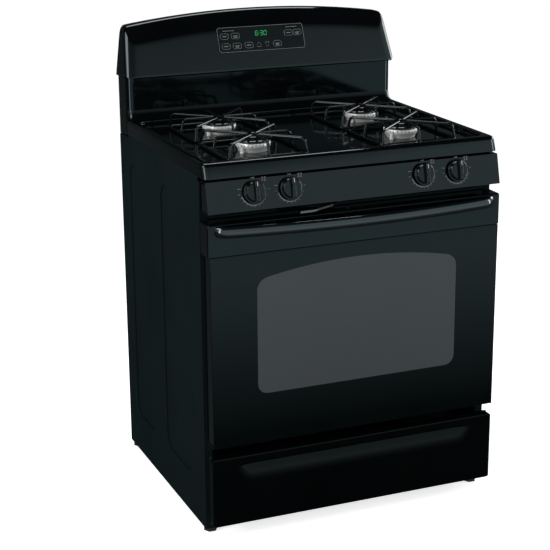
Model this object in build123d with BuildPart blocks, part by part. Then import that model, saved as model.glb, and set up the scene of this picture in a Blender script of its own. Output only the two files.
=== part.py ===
from build123d import *
import os
from math import cos, radians, sin, sqrt

# Freestanding gas range in millimetres: +Z is up, the front faces -Y, and the origin is on the floor
# under the middle of the object.

# Overall form
HALF_WIDTH = 379.5  # side panels, cooktop rim and door band
CONSOLE_HALF = 382.0  # the console hood, the widest piece
REAR = 360.0  # back of the backguard cover
SHEET = 1.2  # thickness of sheet steel
GAP = 0.3  # room between pieces that move past each other
PLAY = 0.05  # radial play of a pin or a shaft in its hole

# Cabinet
SIDE_Z = (12.0, 878.0)
SIDE_Y = (-257.0, 350.0)
FLANGE = 20.0  # width of the side panels' folded returns
EMBOSS_DEPTH = 3.0
EMBOSS_Z = (120.0, 817.0)
EMBOSS_FIELDS = ((-175.0, 25.0), (103.0, 275.0))
EMBOSS_CORNER = 40.0
BASE_Y = (-250.0, 348.0)
BASE_Z = (14.0, 40.0)
BASE_MEMBER = 34.0  # width of the base frame's four members
LEG_X = 361.0
LEG_Y = {"front": -236.0, "rear": 332.0}
LEG_RADIUS = 5.0
BOSS_RADIUS = 11.0
LEG_TOP = 64.0
FOOT_RADIUS = 17.0
FOOT_HEIGHT = 9.0
FRAME_Y = (SIDE_Y[0] + SHEET, SIDE_Y[0] + 2 * SHEET)
FRAME_Z = (222.0, 795.0)
FRAME_HALF = 376.0
FRAME_POST = 34.0  # width of the two posts that rise behind the control panel

# Oven
OVEN_HALF = 300.0
OVEN_Z = (270.0, 690.0)
OVEN_REAR = 230.0
LEDGE_Z = (360.0, 420.0, 480.0, 540.0, 600.0)
LEDGE_WIDTH = 12.0
LEDGE_HEIGHT = 6.0
LEDGE_Y = (-225.0, 215.0)
OVEN_FLOOR_Z = 306.0
FLOOR_MARGIN = 2.0
WOOL = 30.0  # thickness of the insulation
FLOOR_SLOT = (46.0, 9.0)
FLOOR_SLOT_PITCH = 50.0
FLOOR_SLOTS = 8
BAKE_RADIUS = 14.0
BAKE_TIP = -195.0
BAKE_PORTS = 14
BAKE_PORT_PITCH = 24.0
BAKE_PORT = (8.0, 10.0, 2.4)
BAKE_STANDS = (-170.0, 190.0)
BROIL_HALF = 62.0
BROIL_Y = (-165.0, 205.0)
BROIL_Z = (652.0, 678.0)
BROIL_SLOT = (104.0, 6.0)
BROIL_SLOT_PITCH = 16.0
BROIL_SLOTS = 20
BROIL_STRAPS = (-130.0, 160.0)
STRAP_HALF = 90.0
STRAP_WIDTH = 16.0
PROBE_SPOT = (200.0, 637.0)
PROBE_RADIUS = 3.2
PROBE_REACH = 110.0
RACK_WIRE = 3.5
RACK_ROD = 2.5
RACK_HALF = 291.0
RACK_Y = (-230.0, 212.0)
RACK_RODS = 17
RACK_BEND = 14.0
RACK_BARS = (-90.0, 70.0)
RACK_BAR = 3.0
GASKET_RADIUS = 2.9
GASKET_BEND = 25.0
GASKET_OUT = 11.0  # from the oven mouth to the middle of the gasket
GASKET_SILL = 4.0  # the same below the mouth, clear of the door's foot as it swings

# Cooktop
COOKTOP_Z = (889.0, 923.0)
COOKTOP_FRONT = (-293.0, -280.0)  # Y of the front face at its foot and at its top
RISER_FRONT = 284.0
RECESS_HALF = 358.0
RECESS_Y = (-258.0, 262.0)
COOK_SURFACE = 911.0
COOKTOP_CORNER = 18.0
RECESS_CORNER = 26.0
RIM_ROUND = 8.0
PRESSING = 3.0  # wall of the rolled rim
UPSWEEP = ((256.0, 909.0), (262.0, 911.0), (270.0, 930.0), (284.0, 947.0), (284.0, 909.0))
BURNER_SPOTS = {
    "front_left": (-196.0, -131.0),
    "rear_left": (-196.0, 98.0),
    "front_right": (196.0, -131.0),
    "rear_right": (196.0, 98.0),
}
HEAD_RADII = (36.0, 42.5)  # burner head at its foot and at its rim
HEAD_TOP = 933.0
HEAD_RIM = 924.0
HEAD_THROAT = 22.0
HEAD_BORE = 18.0
PORT_SIZE = (16.0, 3.0, 8.0)
PORTS = 28
IGNITER_OUT = 47.0
IGNITER_ANGLE = 35.0
IGNITER_POST = (3.2, 13.0)  # radius and height
SPARK_WIRE = (1.2, 8.0)
CAP_RADIUS = 40.0
CAP_TOP = 943.0
CAP_EDGE = 937.0
GRATE_HALF = 101.0
GRATE_WIRE = 3.5
GRATE_FOOT_WIRE = 4.0
GRATE_TOP = 949.5  # middle of the finger wires
GRATE_EYE = 15.0  # open middle between the finger tips
GRATE_TIE = 27.0  # radius of the ring that ties the fingers
GRATE_TIE_WIRE = 2.7
GRATE_TIE_DROP = 4.0  # how far the ring's middle lies below the fingers'
GRATE_CORNER = 13.0
GRATE_BEND = 11.0
GRATE_SPLAY = 6.0  # how far the fingers' feet stand outwards

# Control panel and gas train
PANEL_HALF = 377.0
PANEL_TOP = (-292.5, 882.6)
PANEL_FOOT = (-309.6, 811.9)
PANEL_BACK = (-264.0, -278.0)  # Y of the rear edges of its two folds, upper and lower
KNOB_X = {"outer_left": -262.0, "inner_left": -172.0, "inner_right": 172.0, "outer_right": 262.0}
KNOB_FEEDS = {"outer_left": "front_left", "inner_left": "rear_left", "inner_right": "rear_right",
              "outer_right": "front_right"}
KNOB_Z = 853.0
KNOB_RADIUS = 27.0
KNOB_LIFT = 4.0  # from the panel to the back of the knob
KNOB_SKIRT = 5.0
KNOB_CROWN = 24.0
KNOB_TAPER = 14.0
BLADE_TAPER = 4.0
KNOB_HEIGHT = 17.0
BLADE = (10.0, 50.0, 29.0)  # grip blade: width, length and top above the panel
STEM_RADIUS = 4.0
STEM_HOLE = 6.0
STEM_FLAT = 2.5  # from the stem's middle to its flat
STEM_FLAT_FROM = 0.5
STEM_ENDS = (-33.0, 22.0)
VALVE_RADIUS = 10.0
VALVE_ENDS = (-50.0, -8.0)
MANIFOLD_RADIUS = 10.0
MANIFOLD_HALF = 330.0
MANIFOLD_BEND = 30.0
TUBE_RADIUS = 4.0
TUBE_Z = 866.0
TUBE_BEND = 9.0
HOLDER_RADIUS = 16.0
HOLDER_Z = (880.0, 902.0)
REGULATOR_Y = 315.0
REGULATOR_Z = (690.0, 760.0)
REGULATOR_RADIUS = 18.0
INLET_Z = 714.0
INLET_RADIUS = 9.3
INLET_BOSS = 14.3
INLET_HOLE = 16.3
INLET_DEPTH = 18.0
INLET_END = 358.0

# Rear panel
REAR_HALF = 376.0
LOUVRE = (90.0, 8.0)
REAR_LOUVRES = (0.0, 560.0)
REAR_LOUVRE_PITCH = (120.0, 26.0)
REAR_LOUVRE_COUNT = (3, 6)
COVER_LOUVRES = (0.0, 960.0)
COVER_LOUVRE_PITCH = (150.0, 24.0)
COVER_LOUVRE_COUNT = (4, 3)
CORD_SPOT = (-250.0, 120.0)
CORD_RADIUS = 11.0
CORD_HOLE = 4.5
GLAND_ENDS = (6.0, 5.0)  # how far the gland stands inside and outside the panel
COLLAR = 3.0
SCREW_RADIUS = 4.5
SCREW_HEAD = 2.4
SCREW_INSET = 14.0
SCREW_ROW_Z = (40.0, 240.0, 440.0, 640.0, 840.0)

# Backguard and console
RISER_HALF = 376.0
RISER_CORNER = 18.0
FLUE_HALF = 60.0
FLUE_DEPTH = 40.0
FLUE_Z = (645.0, 990.0)
FLUE_Y = (RISER_FRONT + SHEET, RISER_FRONT + SHEET + FLUE_DEPTH)
FLUE_OUTLET = (958.0, 982.0)
OUTLET_SLOT = (30.0, 12.0)
OUTLET_PITCH = 34.0
OUTLET_SLOTS = 3
CONSOLE_Z = (1030.0, 1184.0)
CONSOLE_FRONT = (265.0, 325.0)  # Y of the front face at its foot and at its top
CONSOLE_SHOULDER = (367.0, 1157.0)  # X and Z of the top corners
CONSOLE_CORNER = 24.0
CONSOLE_EDGE = 12.0
CONSOLE_WALL = 3.0
CONSOLE_REAR = 358.0
COVER_MARGIN = 1.0
TOUCH_SIZE = (245.0, 68.0)
TOUCH_CENTRE_Z = 1110.0
TOUCH_THICK = 1.2
TOUCH_CORNER = 8.0
CLOCK_SIZE = (210.0, 62.0)
CLOCK_CORNER = 4.0
CLOCK_DEPTH = 24.0

# Door
DOOR_FRONT = -311.5
DOOR_REAR = -262.0
DOOR_HALF = 375.0
DOOR_Z = (241.0, 711.0)
BAND_TOP = 787.0
BAND_FRONT = -309.0
GLASS_THICK = 5.0
GLASS_EDGE = 1.5
DOOR_SILL = 3.0
SILL_REAR = -276.0  # the lip under the glass ends here, so the door's foot swings clear of the gasket
BAND_ROUND = 6.0
BAND_EDGE = 4.0
DOOR_FRAME_HALF = 373.0
DOOR_FLANGE = 28.0
LINER_Z = (250.0, 709.0)
LINER_HALF = 368.0
LINER_FIELD = (285.0, 290.0, 670.0)  # raised field of the inner panel: half width, foot and top
LINER_RISE = 4.0
WINDOW_HALF = 215.0
WINDOW_Z = (400.0, 610.0)
PANE_MARGIN = 12.0
PANE_THICK = 4.0
VENT_PITCH = 63.5
VENT_COUNT = 9
VENT_SIZE = (50.0, 6.0)
VENT_Z = 776.0
HANDLE_Z = (757.0, 784.0)
HANDLE_HALF = 367.0
HANDLE_APEX = -360.0
HANDLE_END = -326.0  # Y of the bar's front at its two ends
HANDLE_THICK = 17.0
HANDLE_NECK = 12.0  # thickness of the bar where it meets its posts
HANDLE_POST = 30.0
HANDLE_CORNER = 10.0
HANDLE_ROUND = 7.0
HINGE_Y = -285.0
HINGE_Z = 255.0
HINGE_PIN = 4.0
HINGE_ARM = (326.0, 334.0)
HINGE_SLOT = (324.0, 336.0)
HINGE_CHEEK = 3.0
HINGE_TOP = 330.0
HINGE_EYE = 8.0  # radius of the eye in each arm
HINGE_ROOM = 10.0
ARM_ROOM = 14.0  # from the pin to the front of the slot under the door
SLOT_TOP = 275.0
HINGE_FRONT = -300.0
RECEIVER_X = (318.0, 342.0)
RECEIVER_Y = (FRAME_Y[1], -185.0)
RECEIVER_Z = (238.0, 274.0)
RECEIVER_ROOM = 3.0

# Door latch
LATCH_PIVOT = (0.0, -235.0)
LATCH_PIN = 4.0
LATCH_BOSS = 9.0
LATCH_SHELF_Z = 758.0
LATCH_SHELF = 30.0  # half width of the shelf under the lever
LATCH_BENDS = (14.0, 12.0)
LATCH_Z = (797.0, 802.0)
LATCH_ARM = ((0.0, -235.0), (-64.0, -287.0), (-121.0, -318.0), (-158.0, -320.0))
LATCH_WIDTH = 12.0
HOOK_Z = (768.0, 774.0)
HOOK_ANGLE = 203.0
HOOK_LENGTH = 44.0
HOOK_SLOT_X = (-75.0, 8.0)
HOOK_SLOT_Z = (763.0, 779.0)

# Drawer
DRAWER_HALF = 377.0
DRAWER_Z = (35.0, 213.0)
DRAWER_Y = (-308.0, -284.0)
DRAWER_EDGE = 7.0
DRAWER_ROUND = 5.0
DRAWER_WALL = 2.5
SCOOP_TOP = 190.0
SCOOP_HALF = 336.0
SCOOP_FOOT = 124.0
SCOOP_RADIUS = 3500.0  # the scoop is part of a very large ball
SCOOP_CHORD_Z = 185.0
PAN_HALF = 322.0
PAN_Y = (-284.0, 225.0)
PAN_Z = (46.0, 178.0)
RUNNER_Z = (90.5, 103.5)
RUNNER_X = (322.0, 344.7)
RUNNER_Y = (-264.0, 225.0)
RAIL_X = (330.0, 345.0)
RAIL_Y = (-240.0, 320.0)

os.makedirs("parts", exist_ok=True)


def keep(part, name):
    """Labels a finished piece and writes it to its own file."""
    part.label = name
    export_step(part, f"parts/{name}.step")


def block(x, y, z, mode=Mode.ADD):
    """Adds or cuts a box between two places on each axis."""
    middle = tuple((a + b) / 2 for a, b in (x, y, z))
    size = tuple(abs(b - a) for a, b in (x, y, z))
    with Locations(middle):
        Box(*size, mode=mode)


def both_sides(x, y, z, mode=Mode.ADD):
    """Adds or cuts a box on the right and its mirror image on the left."""
    block(x, y, z, mode)
    block((-x[0], -x[1]), y, z, mode)


def prism(corners, x, mode=Mode.ADD):
    """Adds or cuts a bar along X with an outline of (y, z) corners."""
    with BuildSketch(Plane.YZ.offset(min(x))) as outline:
        with BuildLine():
            Polyline(*corners, close=True)
        make_face()
    extrude(outline.sketch, amount=abs(x[1] - x[0]), mode=mode)


def rod(start, end, radius, mode=Mode.ADD):
    """Adds or cuts a round bar from one place to another."""
    run = Vector(*end) - Vector(*start)
    middle = (Vector(*start) + Vector(*end)) * 0.5
    with Locations(Plane(origin=middle, z_dir=run)):
        Cylinder(radius, run.length, mode=mode)


def wire(points, radius, bend, close=False):
    """Adds a round wire along straight runs joined by arcs, open or as a closed loop."""
    with BuildLine() as path:
        FilletPolyline(*points, radius=bend, close=close)
    with BuildSketch(Plane(origin=path.line @ 0, z_dir=path.line % 0)) as section:
        Circle(radius)
    sweep(section.sketch, path=path.line)


def panel_y(z):
    """Gives the Y of the control panel's face at a height."""
    share = (z - PANEL_FOOT[1]) / (PANEL_TOP[1] - PANEL_FOOT[1])
    return PANEL_FOOT[0] + share * (PANEL_TOP[0] - PANEL_FOOT[0])


def knob_plane(x, out=0.0):
    """Gives the plane of a knob on the slanted panel, facing out of it."""
    rise = Vector(0, PANEL_TOP[0] - PANEL_FOOT[0], PANEL_TOP[1] - PANEL_FOOT[1]).normalized()
    face = Plane(origin=(x, panel_y(KNOB_Z), KNOB_Z), x_dir=(1, 0, 0), z_dir=(0, -rise.Z, rise.Y))
    return face.offset(out)


def console_y(z):
    """Gives the Y of the console's slanted face at a height."""
    share = (z - CONSOLE_Z[0]) / (CONSOLE_Z[1] - CONSOLE_Z[0])
    return CONSOLE_FRONT[0] + share * (CONSOLE_FRONT[1] - CONSOLE_FRONT[0])


def console_plane(z, inset=0.0):
    """Gives the plane of the console's slanted face, moved inwards."""
    lean = CONSOLE_FRONT[1] - CONSOLE_FRONT[0]
    rise = CONSOLE_Z[1] - CONSOLE_Z[0]
    face = Plane(origin=(0, console_y(z), z), x_dir=(1, 0, 0), z_dir=(0, -rise, lean))
    return face.offset(-inset)


# Side panels: a sheet with folded returns and two embossed fields
with BuildPart() as side_panel_right:
    block((HALF_WIDTH - SHEET, HALF_WIDTH), SIDE_Y, SIDE_Z)
    block((HALF_WIDTH - FLANGE, HALF_WIDTH), (SIDE_Y[0], SIDE_Y[0] + SHEET), SIDE_Z)
    block((HALF_WIDTH - FLANGE, HALF_WIDTH), (SIDE_Y[1] - SHEET, SIDE_Y[1]), SIDE_Z)
    block((HALF_WIDTH - FLANGE, HALF_WIDTH), SIDE_Y, (SIDE_Z[1] - SHEET, SIDE_Z[1]))
    for stand_y in EMBOSS_FIELDS:
        block((HALF_WIDTH - FLANGE, HALF_WIDTH - SHEET), stand_y, (SIDE_Z[1], COOKTOP_Z[0]))
    for field in EMBOSS_FIELDS:
        field_spot = ((field[0] + field[1]) / 2, (EMBOSS_Z[0] + EMBOSS_Z[1]) / 2)
        field_size = (field[1] - field[0], EMBOSS_Z[1] - EMBOSS_Z[0])
        with BuildSketch(Plane.YZ.offset(HALF_WIDTH - SHEET - EMBOSS_DEPTH)):
            with Locations(field_spot):
                RectangleRounded(field_size[0] + 2 * SHEET, field_size[1] + 2 * SHEET, EMBOSS_CORNER)
        extrude(amount=EMBOSS_DEPTH)
        with BuildSketch(Plane.YZ.offset(HALF_WIDTH - EMBOSS_DEPTH)):
            with Locations(field_spot):
                RectangleRounded(*field_size, EMBOSS_CORNER)
        extrude(amount=EMBOSS_DEPTH, mode=Mode.SUBTRACT)
keep(side_panel_right.part, "side_panel_right")

with BuildPart() as side_panel_left:
    mirror(side_panel_right.part, about=Plane.YZ)
keep(side_panel_left.part, "side_panel_left")

# Base frame: a ring of open channel with a nut boss for each leg
LEG_SPOTS = {
    f"{end}_{side}": (sign * LEG_X, y)
    for end, y in LEG_Y.items()
    for side, sign in (("left", -1), ("right", 1))
}
BASE_HALF = HALF_WIDTH - SHEET
with BuildPart() as base_frame:
    block((-BASE_HALF, BASE_HALF), BASE_Y, BASE_Z)
    inner_half = BASE_HALF - BASE_MEMBER
    inner_y = (BASE_Y[0] + BASE_MEMBER, BASE_Y[1] - BASE_MEMBER)
    block((-inner_half, inner_half), inner_y, BASE_Z, Mode.SUBTRACT)
    channel_z = (BASE_Z[0], BASE_Z[1] - SHEET)
    for sign in (-1, 1):
        channel_x = (sign * (inner_half + SHEET), sign * (BASE_HALF - SHEET))
        block(channel_x, (BASE_Y[0] + SHEET, BASE_Y[1] - SHEET), channel_z, Mode.SUBTRACT)
    for y in (BASE_Y[0], inner_y[1]):
        channel_y = (y + SHEET, y + BASE_MEMBER - SHEET)
        block((-inner_half, inner_half), channel_y, channel_z, Mode.SUBTRACT)
    for x, y in LEG_SPOTS.values():
        rod((x, y, BASE_Z[0]), (x, y, BASE_Z[1]), BOSS_RADIUS)
        rod((x, y, BASE_Z[0]), (x, y, BASE_Z[1]), LEG_RADIUS + PLAY, Mode.SUBTRACT)
keep(base_frame.part, "base_frame")

# Levelling legs: a foot pad on a stem that screws in and out of its boss
for name, (x, y) in LEG_SPOTS.items():
    with BuildPart() as leg:
        with BuildSketch(Plane((x, y, 0))):
            RegularPolygon(FOOT_RADIUS, 6)
        extrude(amount=FOOT_HEIGHT)
        rod((x, y, 0), (x, y, LEG_TOP), LEG_RADIUS)
    keep(leg.part, f"levelling_leg_{name}")

# Front frame: the oven mouth, two posts behind the control panel, and the latch pivot
with BuildPart() as front_frame:
    block((-FRAME_HALF, FRAME_HALF), FRAME_Y, FRAME_Z)
    block((-OVEN_HALF, OVEN_HALF), FRAME_Y, OVEN_Z, Mode.SUBTRACT)
    block(HOOK_SLOT_X, FRAME_Y, HOOK_SLOT_Z, Mode.SUBTRACT)
    both_sides(HINGE_SLOT, FRAME_Y, (HINGE_Z - HINGE_ROOM, HINGE_Z + HINGE_ROOM), Mode.SUBTRACT)
    post_x = (FRAME_HALF - FRAME_POST, FRAME_HALF)
    both_sides(post_x, FRAME_Y, (FRAME_Z[1], SIDE_Z[1] - SHEET))
    shelf_x = (LATCH_PIVOT[0] - LATCH_SHELF, LATCH_PIVOT[0] + LATCH_SHELF)
    block(shelf_x, (FRAME_Y[1], LATCH_PIVOT[1] + LATCH_SHELF / 2), (LATCH_SHELF_Z, LATCH_SHELF_Z + SHEET))
    rod((*LATCH_PIVOT, LATCH_SHELF_Z), (*LATCH_PIVOT, LATCH_Z[1] + SHEET), LATCH_PIN)
keep(front_frame.part, "front_frame")

# Oven liner: an open box with ledges for the racks and lips for the floor
LINER_OUT = (OVEN_Z[0] - SHEET, OVEN_Z[1] + SHEET)
FLUE_MOUTH = (FLUE_Z[0] + SHEET, FLUE_Z[0] + FLUE_DEPTH - SHEET)
with BuildPart() as oven_liner:
    block((-OVEN_HALF - SHEET, OVEN_HALF + SHEET), (FRAME_Y[1], OVEN_REAR + SHEET), LINER_OUT)
    block((-OVEN_HALF, OVEN_HALF), (FRAME_Y[1], OVEN_REAR), OVEN_Z, Mode.SUBTRACT)
    ledge_x = (OVEN_HALF - LEDGE_WIDTH, OVEN_HALF)
    for z in LEDGE_Z:
        both_sides(ledge_x, LEDGE_Y, (z - LEDGE_HEIGHT, z))
    both_sides(ledge_x, LEDGE_Y, (OVEN_FLOOR_Z - LEDGE_HEIGHT, OVEN_FLOOR_Z))
    flue_mouth_x = (SHEET - FLUE_HALF, FLUE_HALF - SHEET)
    block(flue_mouth_x, (OVEN_REAR, OVEN_REAR + SHEET), FLUE_MOUTH, Mode.SUBTRACT)
keep(oven_liner.part, "oven_liner")

# Insulation wrapped round the liner, cut away for the flue and the hinge arms
WOOL_OUT = OVEN_HALF + SHEET + WOOL
with BuildPart() as oven_insulation:
    wool_z = (LINER_OUT[0] - WOOL / 2, LINER_OUT[1] + WOOL)
    wool_y = (FRAME_Y[1] + GAP, OVEN_REAR + SHEET + WOOL / 2)
    block((-WOOL_OUT, WOOL_OUT), wool_y, wool_z)
    core_half = OVEN_HALF + SHEET + GAP
    core_z = (LINER_OUT[0] - GAP, LINER_OUT[1] + GAP)
    block((-core_half, core_half), (wool_y[0], OVEN_REAR + SHEET + GAP), core_z, Mode.SUBTRACT)
    flue_cut = (FLUE_Z[0] - GAP, FLUE_Z[0] + FLUE_DEPTH + GAP)
    block((-FLUE_HALF - GAP, FLUE_HALF + GAP), (OVEN_REAR, wool_y[1]), flue_cut, Mode.SUBTRACT)
    both_sides((RECEIVER_X[0] - RECEIVER_ROOM, WOOL_OUT), (wool_y[0], RECEIVER_Y[1] + RECEIVER_ROOM),
               (wool_z[0], RECEIVER_Z[1] + RECEIVER_ROOM), Mode.SUBTRACT)
keep(oven_insulation.part, "oven_insulation")

# Oven floor: a lift-out plate with a row of slots along each side
FLOOR_HALF = OVEN_HALF - FLOOR_MARGIN
with BuildPart() as oven_floor:
    block((-FLOOR_HALF, FLOOR_HALF), LEDGE_Y, (OVEN_FLOOR_Z, OVEN_FLOOR_Z + SHEET))
    with BuildSketch(Plane.XY.offset(OVEN_FLOOR_Z)):
        with GridLocations(2 * (FLOOR_HALF - FLOOR_SLOT[0]), FLOOR_SLOT_PITCH, 2, FLOOR_SLOTS):
            SlotOverall(*FLOOR_SLOT)
    extrude(amount=SHEET, mode=Mode.SUBTRACT)
keep(oven_floor.part, "oven_floor")

# Bake burner: a ported pipe under the oven floor
BAKE_Z = OVEN_Z[0] + BAKE_RADIUS + SHEET
with BuildPart() as bake_burner:
    rod((0, BAKE_TIP, BAKE_Z), (0, OVEN_REAR, BAKE_Z), BAKE_RADIUS)
    rod((0, BAKE_TIP + SHEET, BAKE_Z), (0, OVEN_REAR, BAKE_Z), BAKE_RADIUS - SHEET, Mode.SUBTRACT)
    for sign in (-1, 1):
        with Locations((sign * BAKE_RADIUS, 0, BAKE_Z)):
            with GridLocations(0, BAKE_PORT_PITCH, 1, BAKE_PORTS):
                Box(*BAKE_PORT, mode=Mode.SUBTRACT)
    for y in BAKE_STANDS:
        block((-STRAP_WIDTH, STRAP_WIDTH), (y, y + STRAP_WIDTH), (OVEN_Z[0], OVEN_Z[0] + 2 * SHEET))
keep(bake_burner.part, "bake_burner")

# Broil burner: a hollow box with a slotted face below the oven roof, hung on two straps
with BuildPart() as broil_burner:
    block((-BROIL_HALF, BROIL_HALF), BROIL_Y, BROIL_Z)
    hollow_half = BROIL_HALF - SHEET
    hollow_z = (BROIL_Z[0] + SHEET, BROIL_Z[1] - SHEET)
    block((-hollow_half, hollow_half), (BROIL_Y[0] + SHEET, BROIL_Y[1] - SHEET), hollow_z, Mode.SUBTRACT)
    with BuildSketch(Plane.XY.offset(BROIL_Z[0])):
        with Locations((0, (BROIL_Y[0] + BROIL_Y[1]) / 2)):
            with GridLocations(0, BROIL_SLOT_PITCH, 1, BROIL_SLOTS):
                SlotOverall(*BROIL_SLOT)
    extrude(amount=SHEET, mode=Mode.SUBTRACT)
    for y in BROIL_STRAPS:
        strap_y = (y, y + STRAP_WIDTH)
        block((-STRAP_HALF, STRAP_HALF), strap_y, (BROIL_Z[1], BROIL_Z[1] + 2 * SHEET))
        both_sides((STRAP_HALF - 2 * SHEET, STRAP_HALF), strap_y, (BROIL_Z[1], OVEN_Z[1]))
keep(broil_burner.part, "broil_burner")

# Flue: a bent duct from the oven's rear wall up to the outlet under the console hood
with BuildPart() as oven_flue:
    duct_z = (FLUE_Z[0], FLUE_Z[0] + FLUE_DEPTH)
    block((-FLUE_HALF, FLUE_HALF), (OVEN_REAR + SHEET, FLUE_Y[1]), duct_z)
    block((-FLUE_HALF, FLUE_HALF), FLUE_Y, FLUE_Z)
    bore_x = (SHEET - FLUE_HALF, FLUE_HALF - SHEET)
    bore_y = (FLUE_Y[0] + SHEET, FLUE_Y[1] - SHEET)
    block(bore_x, (OVEN_REAR + SHEET, bore_y[1]), FLUE_MOUTH, Mode.SUBTRACT)
    block(bore_x, bore_y, (FLUE_Z[0] + SHEET, FLUE_Z[1] - SHEET), Mode.SUBTRACT)
    block(bore_x, (FLUE_Y[0], bore_y[0]), FLUE_OUTLET, Mode.SUBTRACT)
keep(oven_flue.part, "oven_flue")

# Temperature probe on the oven's rear wall
with BuildPart() as thermostat_probe:
    plate_x = (PROBE_SPOT[0] - 8 * PROBE_RADIUS, PROBE_SPOT[0] + 8 * PROBE_RADIUS)
    plate_z = (PROBE_SPOT[1] - 4 * PROBE_RADIUS, PROBE_SPOT[1] + 4 * PROBE_RADIUS)
    block(plate_x, (OVEN_REAR - SHEET, OVEN_REAR), plate_z)
    stick = [(PROBE_SPOT[0], OVEN_REAR - reach, PROBE_SPOT[1]) for reach in (0, PROBE_REACH)]
    rod(*stick, PROBE_RADIUS)
keep(thermostat_probe.part, "thermostat_probe")

# Oven racks: a wire frame with rods from front to rear
with BuildPart() as rack_form:
    ends = [(RACK_HALF, y, 0) for y in RACK_Y] + [(-RACK_HALF, y, 0) for y in reversed(RACK_Y)]
    wire(ends, RACK_WIRE, RACK_BEND, close=True)
    rod_pitch = 2 * RACK_HALF / (RACK_RODS + 1)
    for i in range(RACK_RODS):
        rod_x = (i + 1) * rod_pitch - RACK_HALF
        rod((rod_x, RACK_Y[0], 0), (rod_x, RACK_Y[1], 0), RACK_ROD)
    for y in RACK_BARS:
        rod((-RACK_HALF, y, 0), (RACK_HALF, y, 0), RACK_BAR)
RACK_REST = {"lower": LEDGE_Z[1], "upper": LEDGE_Z[3]}
for name, z in RACK_REST.items():
    with BuildPart() as oven_rack:
        with Locations((0, 0, z + RACK_WIRE + GAP)):
            add(rack_form.part)
    keep(oven_rack.part, f"oven_rack_{name}")

# Door gasket: a woven rope round the oven mouth
with BuildPart() as door_gasket:
    rope_half = OVEN_HALF + GASKET_OUT
    rope_z = (OVEN_Z[0] - GASKET_SILL, OVEN_Z[1] + GASKET_OUT)
    rope_y = FRAME_Y[0] - GASKET_RADIUS
    rope = [(rope_half, rope_z[0]), (rope_half, rope_z[1]), (-rope_half, rope_z[1]), (-rope_half, rope_z[0])]
    wire([(x, rope_y, z) for x, z in rope], GASKET_RADIUS, GASKET_BEND, close=True)
keep(door_gasket.part, "door_gasket")

# Cooktop: one pressed sheet with a rolled rim, a recess, burner holes and an upswept rear
with BuildPart() as cooktop:
    face = [(COOKTOP_FRONT[0], COOKTOP_Z[0]), (COOKTOP_FRONT[1], COOKTOP_Z[1])]
    prism(face + [(RISER_FRONT, COOKTOP_Z[1]), (RISER_FRONT, COOKTOP_Z[0])], (-HALF_WIDTH, HALF_WIDTH))
    front_corners = cooktop.edges().filter_by(Axis.X, reverse=True).filter_by(Axis.Y, reverse=True)
    fillet(front_corners.sort_by(Axis.Y)[:2], COOKTOP_CORNER)
    rim_edges = cooktop.faces().sort_by(Axis.Z)[-1].edges().sort_by(Axis.Y)[:-1]
    fillet(rim_edges, RIM_ROUND)
    with BuildSketch(Plane.XY.offset(COOK_SURFACE)):
        with Locations((0, (RECESS_Y[0] + RECESS_Y[1]) / 2)):
            RectangleRounded(2 * RECESS_HALF, RECESS_Y[1] - RECESS_Y[0], RECESS_CORNER)
    extrude(amount=COOKTOP_Z[1] - COOK_SURFACE, mode=Mode.SUBTRACT)
    under_half = HALF_WIDTH - PRESSING
    under_y = (COOKTOP_FRONT[1] + PRESSING, RISER_FRONT - PRESSING)
    block((-under_half, under_half), under_y, (COOKTOP_Z[0], COOK_SURFACE - SHEET), Mode.SUBTRACT)
    roll_y = (under_y[0] + COOKTOP_CORNER, under_y[1])
    roll_z = (COOK_SURFACE - SHEET, COOKTOP_Z[1] - PRESSING)
    both_sides((RECESS_HALF + PRESSING, under_half - 2 * PRESSING), roll_y, roll_z, Mode.SUBTRACT)
    roll_half = RECESS_HALF - RECESS_CORNER
    block((-roll_half, roll_half), (under_y[0], RECESS_Y[0] - PRESSING), roll_z, Mode.SUBTRACT)
    lip_z = (COOKTOP_Z[0], COOKTOP_Z[0] + SHEET)
    both_sides((HALF_WIDTH - FLANGE, under_half), roll_y, lip_z)
    prism(UPSWEEP, (-RECESS_HALF, RECESS_HALF))
    for x, y in BURNER_SPOTS.values():
        rod((x, y, COOK_SURFACE - SHEET), (x, y, COOK_SURFACE), HEAD_THROAT + GAP, Mode.SUBTRACT)
keep(cooktop.part, "cooktop")

# Burner heads: tapered aluminium rings with ports cut in the rim
with BuildPart() as head_form:
    with BuildSketch(Plane.XZ):
        with BuildLine():
            Polyline((0, COOK_SURFACE), (HEAD_RADII[0], COOK_SURFACE), (HEAD_RADII[1], HEAD_RIM),
                     (HEAD_RADII[1], HEAD_TOP), (0, HEAD_TOP), close=True)
        make_face()
    revolve(axis=Axis.Z)
    rod((0, 0, HOLDER_Z[1]), (0, 0, COOK_SURFACE), HEAD_THROAT)
    rod((0, 0, HOLDER_Z[1]), (0, 0, HEAD_TOP), HEAD_BORE, Mode.SUBTRACT)
    with Locations((0, 0, HEAD_TOP)):
        with PolarLocations(HEAD_RADII[1], PORTS):
            Box(*PORT_SIZE, mode=Mode.SUBTRACT)
with BuildPart() as burner_heads:
    with Locations(*[(x, y, 0) for x, y in BURNER_SPOTS.values()]):
        add(head_form.part)
keep(burner_heads.part, "burner_heads")

# Burner caps: domed discs that lie on the heads
with BuildPart() as cap_form:
    with BuildSketch(Plane.XZ):
        with BuildLine():
            Polyline((0, CAP_TOP), (0, HEAD_TOP), (CAP_RADIUS, HEAD_TOP), (CAP_RADIUS, CAP_EDGE))
            TangentArc((0, CAP_TOP), (CAP_RADIUS, CAP_EDGE), tangent=(1, 0))
        make_face()
    revolve(axis=Axis.Z)
with BuildPart() as burner_caps:
    with Locations(*[(x, y, 0) for x, y in BURNER_SPOTS.values()]):
        add(cap_form.part)
keep(burner_caps.part, "burner_caps")

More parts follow.
